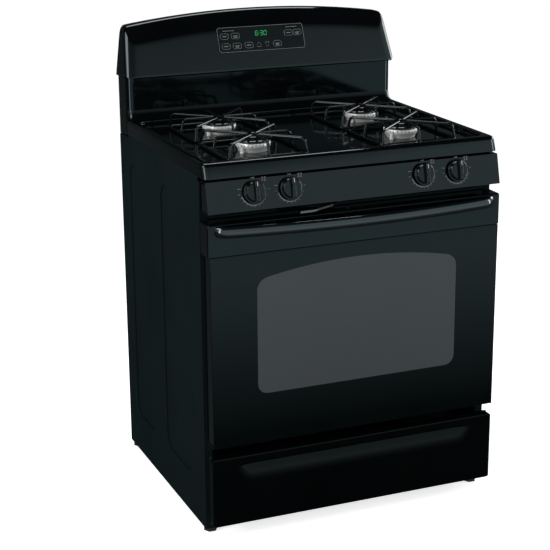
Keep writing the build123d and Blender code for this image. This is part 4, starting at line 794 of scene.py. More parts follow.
@dataclass(frozen=True)
class Console:
    """The arched hood on the backguard, with its touch panel and marks."""

    foot_half: float = 0.382
    shoulder: Pair = (0.367, 1.157)
    crown: float = 1.184
    foot: float = 1.030
    front: Pair = (0.265, 0.325)  # Y of the face at its foot and at its crown
    rear: float = 0.358
    corner_power: int = 7  # squareness of the top corners
    roll: tuple[float, float, float] = (0.03, 0.056, 0.006)  # rolled ends, top and foot of the face
    roll_depth: float = 0.018
    foot_corner: float = 0.018
    wall: float = 0.0025
    grid: tuple[int, int] = (120, 44)
    touch_z: float = 1.110
    touch_size: Pair = (0.245, 0.068)
    touch_rise: float = 0.0012
    ink: float = 0.00025
    outline: Point = (0.002, 0.007, 0.0007)  # margin, corner and line of the printed outline
    pads: tuple[Pair, ...] = ((0.08, 0.36), (0.205, 0.36), (0.82, 0.36), (0.925, 0.36), (0.085, 0.75), (0.212, 0.75),
                              (0.347, 0.75), (0.675, 0.75))
    pad: tuple[Pair, float, float] = ((0.0235, 0.0155), 0.0055, 0.0006)  # size, corner and line
    bar: Pair = (0.006, 0.0008)  # half length and half height of a bar on a pad
    bar_step: Pair = (0.0015, 0.0035)  # how much shorter and lower the next bar is
    arrows: tuple[Point, ...] = ((0.464, 0.75, 1), (0.558, 0.75, -1))  # place, and 1 for up
    arrow: tuple[Pair, float, float] = ((0.016, 0.012), 0.003, 0.0006)
    arrow_taper: Pair = (0.55, 40.0)
    strips: tuple[Pair, ...] = ((0.135, 0.15), (0.86, 0.13))
    strip: tuple[Pair, float] = ((0.046, 0.0085), 0.003)
    dashes: int = 5
    dash: tuple[float, float, float, float] = (-0.016, 0.0066, 0.0052, 0.0006)  # start, step, length, half height
    clock_at: Pair = (0.5, 0.3)
    clock: tuple[tuple[str, float], ...] = (("6", -0.0115), ("3", 0.002), ("0", 0.0125))
    colon: Point = (-0.0048, 0.0022, 0.0007)  # place across, rise and half size of its dots
    segments: Point = (0.0036, 0.0058, 0.0006)  # half width, half height and half bar of a digit
    lean: float = 0.12

    def face_y(self, z: float) -> float:
        """Gives the Y of the slanted face at a height."""
        share = (z - self.foot) / (self.crown - self.foot)
        return self.front[0] + share * (self.front[1] - self.front[0])

    def half_at(self, z: float) -> float:
        """Gives the half width at a height."""
        share = (z - self.foot) / (self.shoulder[1] - self.foot)
        return self.foot_half + share * (self.shoulder[0] - self.foot_half)

    def top_at(self, x: float) -> float:
        """Gives the height of the arch over a place across.

        Args:
            x: Place across.

        Returns:
            The height.
        """
        rise = self.crown - self.shoulder[1]
        radius = (self.shoulder[0] ** 2 + rise**2) / (2 * rise)
        return self.crown - radius + sqrt(radius**2 - x**2)

    def spot(self, across: float, up: float) -> Point:
        """Gives a point of the crowned face.

        Args:
            across: Share of the half width, from -1 to 1.
            up: Share of the height, from 0 to 1.

        Returns:
            The point.
        """
        z = self.foot + up * (self.top_at(across * self.shoulder[0]) - self.foot)
        x = across * self.half_at(z)
        z = self.foot + up * (self.top_at(x) - self.foot)
        way = 1 if x > 0 else -1
        side, top, low = self.half_at(z) - abs(x), self.top_at(x) - z, z - self.foot
        ends, over = max(0.0, 1 - side / self.roll[0]), max(0.0, 1 - top / self.roll[1])
        rolled = max(ends, over)
        if min(ends, over) > 0:
            power = self.corner_power
            squeeze = rolled / (ends**power + over**power) ** (1 / power) - 1
            x += way * self.roll[0] * ends * squeeze
            z += self.roll[1] * over * squeeze
        a, b = self.foot_corner - side, self.foot_corner - low
        if min(a, b) > 0:
            squeeze = max(a, b) / hypot(a, b) - 1
            x += way * a * squeeze
            z -= b * squeeze
            rolled = max(0.0, 1 - (self.half_at(z) - abs(x)) / self.roll[0])
        drop = self.roll_depth * (1 - sqrt(1 - min(1.0, rolled) ** 2))
        under = min(1.0, max(0.0, 1 - (z - self.foot) / self.roll[2]))
        drop = max(drop, self.roll[2] * (1 - sqrt(1 - under**2)))
        return x, min(self.face_y(z) + drop, self.rear - self.wall), z

    def build_hood(self) -> None:
        """Models the hood as a crowned face with rolled edges and walls that run back to the cover."""
        shape = Shape()
        made = shape.drape(self.grid, lambda u, v: self.spot(sin(u * pi / 2), (1 + sin(v * pi / 2)) / 2))
        for vert in only(BMVert, made):
            x, z = vert.co.x, vert.co.z
            a, b = self.foot_corner - self.half_at(z) + abs(x), self.foot_corner - z + self.foot
            grow = self.foot_corner / max(a, b) - 1 if min(a, b) > MERGE else 0.0
            vert.co = (x + (1 if x > 0 else -1) * a * grow, self.rear, z - b * grow)
        shape.outwards()
        bmesh.ops.solidify(shape.bm, geom=list(shape.bm.faces), thickness=self.wall)
        shape.piece("console_hood", "root", "console_plastic", CONSOLE_GLOSS, replaces=["console_shell"])

    def place(self, u: float, v: float) -> Matrix:
        """Gives the frame of a spot on the touch panel.

        Args:
            u: Share across, from the left.
            v: Share down, from the top.

        Returns:
            The frame, with X across, Y up the face and Z out of it.
        """
        rise = (0, self.front[1] - self.front[0], self.crown - self.foot)
        face = facing((0, self.face_y(self.touch_z), self.touch_z), rise)
        return face @ Matrix.Translation(((u - 0.5) * self.touch_size[0], (0.5 - v) * self.touch_size[1],
                                          self.touch_rise))

    def build_marks(self) -> None:
        """Prints the outline, the pads, their signs and the clock."""
        lines, strips, digits = Shape(), Shape(), Shape()
        margin, corner, line = self.outline
        edge = (self.touch_size[0] - margin, self.touch_size[1] - margin)
        lines.add(Shape().band(edge, corner, line, self.ink), self.place(0.5, 0.5))
        for index, spot in enumerate(self.pads):
            lines.add(Shape().band(*self.pad, self.ink), self.place(*spot))
            for row in range(1 + index % 2):
                half, drop = self.bar[0] - self.bar_step[0] * row, self.bar_step[1] * row
                low, high = (-half, -self.bar[1] - drop, 0), (half, self.bar[1] - drop, self.ink)
                lines.add(Shape().block(low, high), self.place(*spot))
        for u, v, way in self.arrows:
            arrow = Shape().band(*self.arrow, self.ink)
            for vert in arrow.bm.verts:
                vert.co.x *= self.arrow_taper[0] - self.arrow_taper[1] * way * vert.co.y
            lines.add(arrow, self.place(u, v))
        start, step, length, half = self.dash
        for spot in self.strips:
            strips.add(Shape().plate(*self.strip, self.ink), self.place(*spot))
            for left in (start + step * index for index in range(self.dashes)):
                dash = Shape().block((left, -half, self.ink), (left + length, half, 2 * self.ink))
                lines.add(dash, self.place(*spot))
        clock = self.place(*self.clock_at)
        for number, shift in self.clock:
            digits.add(self.digit(number), clock @ Matrix.Translation((shift, 0, 0)))
        across, rise, half = self.colon
        for up in (-rise, rise):
            dot = Shape().block((-half, up - half, 0), (half, up + half, self.ink))
            digits.add(dot, clock @ Matrix.Translation((across, 0, 0)))
        lines.piece("touch_lines", "root", "touch_face", GREY_INK)
        strips.piece("touch_strips", "root", "touch_face", BLACK_INK)
        digits.piece("clock_digits", "root", "touch_face", CLOCK_GLOW)

    def digit(self, number: str) -> Shape:
        """Makes one seven-segment number, leaning a little.

        Args:
            number: Number that the clock shows.

        Returns:
            The lit bars.
        """
        lit = {"0": "abcdef", "3": "abcdg", "6": "acdefg"}[number]
        half, tall, bar = self.segments
        spots = {"a": (0, tall), "g": (0, 0), "d": (0, -tall), "b": (half, tall / 2), "c": (half, -tall / 2),
                 "f": (-half, tall / 2), "e": (-half, -tall / 2)}
        shape = Shape()
        for name in lit:
            x, y = spots[name]
            reach = (half - bar, bar) if name in "agd" else (bar, tall / 2 - bar)
            shape.block((x - reach[0], y - reach[1], 0), (x + reach[0], y + reach[1], self.ink))
        for vert in shape.bm.verts:
            vert.co.x += self.lean * vert.co.y
        return shape

    def build(self) -> None:
        """Builds the hood and its marks."""
        self.build_hood()
        self.build_marks()


@dataclass(frozen=True)
class Cooktop:
    """The one-piece top with its burners and grates."""

    half: float = 0.3795
    front: Pair = (-0.293, -0.280)  # Y of the front face at its foot and at its top
    rear: float = 0.284
    z: Pair = (0.889, 0.923)
    surface: float = 0.911
    corners: Pair = (0.018, 0.026)  # outer corner and recess corner
    recess_half: float = 0.358
    recess_y: Pair = (-0.258, 0.262)
    rim: tuple[float, float, float] = (0.008, 0.004, 0.004)  # rounds: outer rim, inner rim, foot of the recess
    sheet: float = 0.0012
    riser_axis: Pair = (0.358, 0.302)  # X and Y of the axis of the riser's round corner
    riser_corner: float = 0.018
    burners: tuple[tuple[str, float, float], ...] = (
        ("front_left", -0.196, -0.131), ("rear_left", -0.196, 0.098),
        ("front_right", 0.196, -0.131), ("rear_right", 0.196, 0.098))
    ports: int = 28
    port_steps: int = 4
    igniter_out: float = 0.047
    igniter_angle: float = 215.0
    hem: float = 0.012  # height of the turned edge inside the outer wall
    rear_corner: float = 0.003
    skin: float = 0.0002  # kept between faces that would share a plane
    crest: float = 0.947  # top of the sweep up to the riser
    sweep_y: Pair = (0.252, 0.27)  # where the strip's curve starts, and where its two tangents meet
    sweep_z: float = 0.9125
    sweep_steps: int = 10
    flare_cells: tuple[int, int] = (12, 10)
    flare_reach: Pair = (0.032, 0.0024)  # at the riser's front and at its end
    flare_climb: float = 0.3  # share of the corner in which the foot climbs to the rim
    flare_under: float = 0.0008
    flare_bow: float = 0.88
    flare_swell: float = 0.0024
    tuck: float = 0.0006
    post: Outline = ((0, 0.911), (0.0045, 0.911), (0.0045, 0.914), (0.0032, 0.9152), (0.0032, 0.9228),
                     *arc((0.002, 0.9228), 0.0012, 0, 90, 3), (0, 0.924))
    spark: Outline = ((0, 0.9238), (0.0012, 0.9238), (0.0012, 0.930), (0, 0.932))
    head_profile: Outline = (
        (0, 0.9112), (0.0352, 0.9112), (0.0358, 0.9125), (0.0365, 0.9155), (0.0385, 0.919), (0.0408, 0.922),
        (0.0422, 0.9245), (0.0425, 0.9262), (0.0425, 0.9312), (0.0417, 0.9325), (0.0395, 0.933), (0, 0.933))
    port_z: Pair = (0.9262, 0.9312)
    port_out: float = 0.04  # the ported rim lies beyond this radius
    port_wall: float = 0.0003
    port_depth: float = 0.004
    cap_foot: Outline = ((0, 0.9331), (0.0385, 0.9331), (0.0399, 0.9342), (0.04, 0.9357))
    cap_dome: Point = (0.0395, 0.9365, 0.0065)  # reach, height of its foot and rise
    cap_turns: tuple[int, ...] = (84, 70, 56, 42, 28, 14)
    cap_top: float = 0.943
    strip_inset: Pair = (0.0008, 0.0002)  # the side strips, measured from the outer wall
    strip_y: Pair = (-0.25, 0.28)
    strip_z: float = 0.866

    def loop(self, shape: Shape, inset: float, z: float) -> list[BMEdge]:
        """Makes one level of the outer wall and rim.

        Args:
            shape: Shape under construction.
            inset: Distance inside the outer wall.
            z: Height of the level.

        Returns:
            The loop's edges.
        """
        share = (min(z, self.z[1]) - self.z[0]) / (self.z[1] - self.z[0])
        front = self.front[0] + share * (self.front[1] - self.front[0]) + inset
        return self.corner_ring(shape, self.half - inset, front, self.rear, z, self.corners[0] - inset / 2,
                                self.rear_corner)

    def recess_loop(self, shape: Shape, inset: float, z: float) -> list[BMEdge]:
        """Makes one level of the recess wall, as the outer wall's levels are made."""
        front, rear = self.recess_y[0] + inset, self.recess_y[1] - inset
        return self.corner_ring(shape, self.recess_half - inset, front, rear, z, *[self.corners[1]] * 2)

    @staticmethod
    def corner_ring(shape: Shape, half: float, front: float, rear: float, z: float, radius: float, rear_radius: float
                    ) -> list[BMEdge]:
        """Makes a level loop with round corners.

        Args:
            shape: Shape under construction.
            half: Half width.
            front: Y of the front edge.
            rear: Y of the rear edge.
            z: Height.
            radius: Radius of the front corners.
            rear_radius: Radius of the rear corners.

        Returns:
            The loop's edges.
        """
        face = shape.sheet([(-half, front, z), (half, front, z), (half, rear, z), (-half, rear, z)])
        face = shape.round_corners(face, [v for v in face.verts if v.co.y < front + MERGE], radius)
        face = shape.round_corners(face, [v for v in face.verts if v.co.y > rear - MERGE], rear_radius)
        edges = list(face.edges)
        bmesh.ops.delete(shape.bm, geom=[face], context="FACES_ONLY")
        return edges

    def build_top(self) -> None:
        """Models the pressed sheet from level loops, and the strip that sweeps up to the riser."""
        shape = Shape()
        outer, inner, foot = self.rim
        lip = [self.loop(shape, self.sheet, z) for z in (self.z[0] + self.hem, self.z[0])]
        wall = [self.loop(shape, 0, self.z[0])]
        for inset, height in arc((outer, -outer), outer, 180, 90, 6):
            wall.append(self.loop(shape, inset, self.z[1] + height))
        pan = []
        for inset, height in arc((-inner, -inner), inner, 90, 0, 4):
            pan.append(self.recess_loop(shape, inset, self.z[1] + height))
        for inset, height in arc((foot, foot), foot, 180, 270, 4):
            pan.append(self.recess_loop(shape, inset, self.surface + height))
        middle = self.recess_loop(shape, 3 * foot, self.surface)
        for levels in (lip, wall, pan):
            for lower, upper in zip(levels, levels[1:]):
                bmesh.ops.bridge_loops(shape.bm, edges=[*lower, *upper])
        for inside, outside in ((lip[-1], wall[0]), (wall[-1], pan[0]), (pan[-1], middle)):
            bmesh.ops.triangle_fill(shape.bm, use_beauty=True, edges=[*inside, *outside], normal=(0, 0, 1))
        bmesh.ops.edgeloop_fill(shape.bm, edges=middle)
        shape.outwards()
        if max(shape.bm.faces, key=BMFace.calc_area).normal.z < 0:
            bmesh.ops.reverse_faces(shape.bm, faces=shape.bm.faces)
        shape.add(self.upsweep())
        for side in (-1, 1):
            shape.add(self.flare(side))
        shape.piece("cooktop_pressing", "root", "black_enamel", BLACK_ENAMEL, replaces=["cooktop"])

    def upsweep(self) -> Shape:
        """Makes the strip between the cooktop and the riser, hollow curved in section.

        Returns:
            The strip.
        """
        shape = Shape()
        low, rear = self.surface - self.sheet, self.rear - self.skin
        start, end = Vector((self.sweep_y[0], self.surface + self.skin)), Vector((rear, self.crest))
        pull = Vector((self.sweep_y[1], self.sweep_z))
        shares = [index / self.sweep_steps for index in range(self.sweep_steps + 1)]
        bow = [start.lerp(pull, share).lerp(pull.lerp(end, share), share) for share in shares]
        profile = [(rear, low), (start.x, low), *[(p.x, p.y) for p in bow]]
        face = shape.sheet([(-self.recess_half, y, z) for y, z in profile])
        shape.thicken([face], (2 * self.recess_half, 0, 0))
        return shape.outwards()

    def flare_spot(self, side: int, around: float, up: float) -> Point:
        """Gives a point of the hollow curve round one front corner of the riser.

        Args:
            side: 1 for the right end, -1 for the left.
            around: Share of the way round the corner, from the front to the end.
            up: Share of the height.

        Returns:
            The point.
        """
        turn = radians(90 * around - 90)
        reach = self.flare_reach[0] * (1 - around) ** 2 + self.flare_reach[1] * around
        climb = self.z[1] - self.surface - self.flare_under
        foot = self.surface + climb * min(1.0, around / self.flare_climb)
        out = self.riser_corner + reach * ((1 - up) ** 2 + self.flare_bow * up * (1 - up))
        z = foot * (1 - up**2) + self.flare_swell * up * (1 - up) + self.crest * up**2
        return side * (self.riser_axis[0] + out * cos(turn)), self.riser_axis[1] + out * sin(turn), z

    def flare(self, side: int) -> Shape:
        """Makes the hollow curve from the strip out to the rim, at one end.

        Args:
            side: 1 for the right end, -1 for the left.

        Returns:
            The curved piece, closed towards the riser.
        """
        shape = Shape()
        made = shape.drape(self.flare_cells, lambda u, v: self.flare_spot(side, (u + 1) / 2, (v + 1) / 2))
        axis = Vector((side * self.riser_axis[0], self.riser_axis[1]))
        for vert in only(BMVert, made):
            vert.co.xy = axis + (vert.co.xy - axis).normalized() * (self.riser_corner - self.tuck)
        return shape.outwards()

    def build_burners(self) -> None:
        """Models the ported heads, the domed caps and the spark igniters."""
        heads, caps, posts, sparks = Shape(), Shape(), Shape(), Shape()
        for _, x, y in self.burners:
            spot = Matrix.Translation((x, y, 0))
            heads.add(self.head(), spot)
            caps.add(self.cap(), spot)
            turn = radians(self.igniter_angle)
            out = Matrix.Translation((x + self.igniter_out * cos(turn), y + self.igniter_out * sin(turn), 0))
            posts.add(Shape().lathe(self.post, 20), out)
            sparks.add(Shape().lathe(self.spark, 12), out)
        heads.piece("burner_heads_cast", "root", "burner_aluminium", BURNER_ALUMINIUM, replaces=["burner_heads"])
        caps.piece("burner_caps_domed", "root", "cap_enamel", CAP_ENAMEL, replaces=["burner_caps"])
        posts.piece("igniter_posts", "root", "igniter_ceramic", IGNITER_CERAMIC, replaces=["burner_igniters"])
        sparks.piece("igniter_sparks", "root", "burner_steel", BURNER_STEEL)

    def head(self) -> Shape:
        """Turns one burner head and sinks its ports into the rim.

        Returns:
            The head, about the Z axis.
        """
        spans = self.ports * self.port_steps
        shape = Shape().lathe(self.head_profile, spans)
        ported = []
        for face in shape.bm.faces:
            spot = face.calc_center_median()
            on_rim = self.port_z[0] < spot.z < self.port_z[1] and spot.xy.length > self.port_out
            if on_rim and round(atan2(spot.y, spot.x) * spans / (2 * pi) - 0.5) % self.port_steps == 0:
                ported.append(face)
        bmesh.ops.inset_individual(shape.bm, faces=ported, thickness=self.port_wall, depth=-self.port_depth)
        return shape

    def cap(self) -> Shape:
        """Turns one domed cap.

        Returns:
            The cap, about the Z axis.
        """
        reach, foot, rise = self.cap_dome
        dome = [(reach * sin(turn), foot + rise * cos(turn)) for turn in map(radians, self.cap_turns)]
        return Shape().lathe([*self.cap_foot, *dome, (0, self.cap_top)], 72)

    def build_grates(self) -> None:
        """Bends the four wire grates."""
        for name, x, y in self.burners:
            shape = Shape().add(Grate().wires(), Matrix.Translation((x, y, 0)))
            shape.piece(f"grate_wires_{name}", f"grate_{name}", "grate_enamel", GRATE_ENAMEL,
                        replaces=[f"grate_{name}"])

    def build_edges(self) -> None:
        """Closes the notches at the top of the side panels, under the rim, with a strip in the sheet."""
        shape = Shape()
        for side in (-1, 1):
            left, right = sorted(side * (self.half - inset) for inset in self.strip_inset)
            shape.block((left, self.strip_y[0], self.strip_z), (right, self.strip_y[1], self.z[0] - self.skin))
        shape.piece("side_top_edges", "root", "side_enamel", SIDE_ENAMEL)

    def build(self) -> None:
        """Builds the top, the strips at its sides, the burners and the grates."""
        self.build_top()
        self.build_edges()
        self.build_burners()
        self.build_grates()


@dataclass(frozen=True)
class Grate:
    """One wire grate: a square foot, eight fingers and the ring that ties them."""

    half: float = 0.101
    foot_z: float = 0.9153
    foot_wire: float = 0.004
    top_z: float = 0.9495
    finger_wire: float = 0.0035
    eye: float = 0.015
    tie: float = 0.027
    tie_wire: float = 0.0027
    tie_z: float = 0.9455
    corner: float = 0.013
    bend: float = 0.011
    splay: float = 0.006
    bead: float = 0.0042
    bead_flat: float = 0.8
    bead_rise: Pair = (0.0015, 0.0012)  # above the tie's and the foot's middle

    def wires(self) -> Shape:
        """Makes the grate about the Z axis.

        Returns:
            The welded wires.
        """
        half, z = self.half, self.foot_z
        square = [(half, 0, z), (half, half, z), (-half, half, z), (-half, -half, z), (half, -half, z), (half, 0, z)]
        shape = Shape().wire(square, self.foot_wire, self.corner, closed=True, sides=14)
        for index in range(8):
            turn = radians(45 * index)
            reach = half if index % 2 == 0 else half * sqrt(2) - self.corner * (sqrt(2) - 1)
            stations = ((self.eye, self.top_z), (reach - self.splay, self.top_z), (reach, z))
            path = [(cos(turn) * r, sin(turn) * r, height) for r, height in stations]
            shape.add(Shape().wire(path, self.finger_wire, self.bend, sides=14))
            shape.add(self.weld(cos(turn) * self.tie, sin(turn) * self.tie, self.tie_z + self.bead_rise[0]))
            shape.add(self.weld(cos(turn) * reach, sin(turn) * reach, z + self.bead_rise[1]))
        ring = arc((self.tie, self.tie_z), self.tie_wire, 0, 315, 7)
        return shape.add(Shape().lathe(ring, 48, closed=True))

    def weld(self, x: float, y: float, z: float) -> Shape:
        """Makes the small swelling where two wires are welded.

        Args:
            x: Place across.
            y: Place from front to rear.
            z: Height.

        Returns:
            The swelling.
        """
        shape = Shape()
        place = Matrix.Translation((x, y, z)) @ Matrix.Diagonal((1, 1, self.bead_flat, 1))
        bmesh.ops.create_icosphere(shape.bm, subdivisions=2, radius=self.bead, matrix=place)
        return shape


@dataclass(frozen=True)
class ControlPanel:
    """The printed marks of the slanted panel and its four knobs."""

    knob_x: tuple[tuple[str, float, int], ...] = (
        ("outer_left", -0.262, 0), ("inner_left", -0.172, 1), ("inner_right", 0.172, 3), ("outer_right", 0.262, 2))
    top: Pair = (-0.2925, 0.8826)  # Y and Z of the panel's upper edge
    foot: Pair = (-0.3096, 0.8119)
    knob_z: float = 0.853
    ink: float = 0.0002
    tick_ring: float = 0.0302
    lift: float = 0.004
    arc_line: float = 0.0022
    arc_turn: Pair = (195, 345)
    arc_thin: float = 0.25
    labels: tuple[tuple[str, float, Pair], ...] = (
        ("OFF", 0.0052, (0, 0.0315)), ("HI", 0.0042, (-0.0365, -0.004)), ("LO", 0.0042, (0.0365, 0.004)))
    ticks: int = 9
    tick_turn: Pair = (200, 17.5)  # the first tick's angle and the step, in degrees
    tick: Point = (0.0028, 0.0024, 0.00045)  # distance from the ring, length and half width
    mark: Point = (-0.0045, 0.0025, 0.0006)  # left end, right end and half height
    mark_at: Pair = (-0.0345, 0.009)
    dot_at: Pair = (-0.0295, 0.009)
    dot: float = 0.0011
    sign_at: Pair = (0.0235, 0.0245)
    sign_step: Pair = (0.0062, 0.0058)
    sign_dot: float = 0.0021
    ring_share: float = 0.62
    knob_profile: Outline = (
        (0, 0), (0.0262, 0), (0.027, 0.0008), (0.027, 0.0032), *arc((0.0255, 0.0036), 0.0014, 0, 75, 3),
        (0.0242, 0.0054), (0.0224, 0.0108), *arc((0.0198, 0.0109), 0.0021, 10, 80, 4), (0, 0.0134))
    pointer: tuple[Point, Point] = ((-0.0007, 0.0125, 0.0249), (0.0007, 0.0225, 0.02535))
    blade_half: float = 0.0062
    blade_y: Pair = (-0.0242, 0.0245)
    blade_z: Pair = (0.004, 0.025)
    blade_cuts: int = 9
    blade_width: Pair = (1.25, 0.45)  # factor at its foot, and how much of it goes towards its top
    blade_waist: float = 0.8
    blade_draw: float = 0.06
    blade_slope: float = 0.0022
    blade_round: float = 0.0016

    def place(self, x: float) -> Matrix:
        """Gives the frame of a knob on the panel.

        Args:
            x: Place across.

        Returns:
            The frame, with X across, Y up the face and Z out of it.
        """
        share = (self.knob_z - self.foot[1]) / (self.top[1] - self.foot[1])
        y = self.foot[0] + share * (self.top[0] - self.foot[0])
        return facing((x, y, self.knob_z), (0, self.top[0] - self.foot[0], self.top[1] - self.foot[1]))

    def build_marks(self) -> None:
        """Prints the dial round each knob: an arc with ticks, numbers, an off mark and a burner sign."""
        white, red = Shape(), Shape()
        for _, x, burner in self.knob_x:
            place = self.place(x)
            rim = (self.tick_ring, self.tick_ring + self.arc_line)
            white.add(Shape().fan(rim, self.arc_turn, self.ink, self.arc_thin), place)
            for text, size, spot in self.labels:
                white.add(Shape().words(text, size, self.ink), place @ Matrix.Translation((*spot, 0)))
            gap, length, half = self.tick
            for index in range(self.ticks):
                turn = radians(self.tick_turn[0] + self.tick_turn[1] * index)
                spoke = Matrix.Rotation(turn, 4, "Z") @ Matrix.Translation((self.tick_ring + gap, 0, 0))
                white.add(Shape().block((0, -half, 0), (length, half, self.ink)), place @ spoke)
            left, right, half = self.mark
            mark = Shape().block((left, -half, 0), (right, half, self.ink))
            white.add(mark, place @ Matrix.Translation((*self.mark_at, 0)))
            red.add(self.spot(self.dot), place @ Matrix.Translation((*self.dot_at, 0)))
            for cell in range(4):
                column, row = cell % 2, cell // 2
                centre = (self.sign_at[0] + self.sign_step[0] * column, self.sign_at[1] + self.sign_step[1] * row, 0)
                ink = red if cell == burner else white
                ink.add(self.spot(self.sign_dot, cell != burner), place @ Matrix.Translation(centre))
        white.piece("dial_marks", "root", "black_enamel", GREY_INK)
        red.piece("dial_signs", "root", "black_enamel", RED_INK)

    def spot(self, radius: float, hollow: bool = False) -> Shape:
        """Makes a printed dot or ring.

        Args:
            radius: Outer radius.
            hollow: Whether only the ring is printed.

        Returns:
            The thin print.
        """
        inner = self.ring_share * radius if hollow else 0.0
        profile = [(inner, 0), (radius, 0), (radius, self.ink), (inner, self.ink)]
        return Shape().lathe(profile, 16, closed=hollow)

    def build_knobs(self) -> None:
        """Models the four knobs and their pointers."""
        for name, x, _ in self.knob_x:
            place = self.place(x) @ Matrix.Translation((0, 0, self.lift))
            Shape().add(self.knob(), place).piece(f"knob_cap_{name}", f"knob_{name}", "knob_plastic", KNOB_PLASTIC,
                                                  replaces=[f"knob_{name}"])
            pointer = Shape().add(Shape().block(*self.pointer), place)
            pointer.piece(f"knob_pointer_{name}", f"knob_{name}", "knob_plastic", WHITE_INK)

    def knob(self) -> Shape:
        """Makes one knob: a turned skirt and crown with a waisted grip blade across."""
        return Shape().lathe(self.knob_profile, 56).add(self.blade())

    def blade(self) -> Shape:
        """Makes the grip blade, drawn in at its middle and lower towards its foot end.

        Returns:
            The blade.
        """
        (near, far), (low, top) = self.blade_y, self.blade_z
        shape = Shape().block((-self.blade_half, near, low), (self.blade_half, far, top))
        long_edges = [e for e in shape.bm.edges if abs((e.verts[0].co - e.verts[1].co).normalized().y) > 0.9]
        bmesh.ops.subdivide_edges(shape.bm, edges=long_edges, cuts=self.blade_cuts, use_grid_fill=True)
        for vert in shape.bm.verts:
            along = vert.co.y / far
            high = (vert.co.z - low) / (top - low)
            waist = self.blade_waist + (1 - self.blade_waist) * along**2
            vert.co.x *= (self.blade_width[0] - self.blade_width[1] * high) * waist
            vert.co.y *= 1 - self.blade_draw * high
            vert.co.z -= self.blade_slope * high * (1 - along) / 2
        sharp = [e for e in shape.bm.edges if len(e.link_faces) == 2 and e.calc_face_angle() > radians(40)]
        shape.round_edges(sharp, self.blade_round)
        return shape.outwards()

    def build(self) -> None:
        """Builds the marks and the knobs."""
        self.build_marks()
        self.build_knobs()


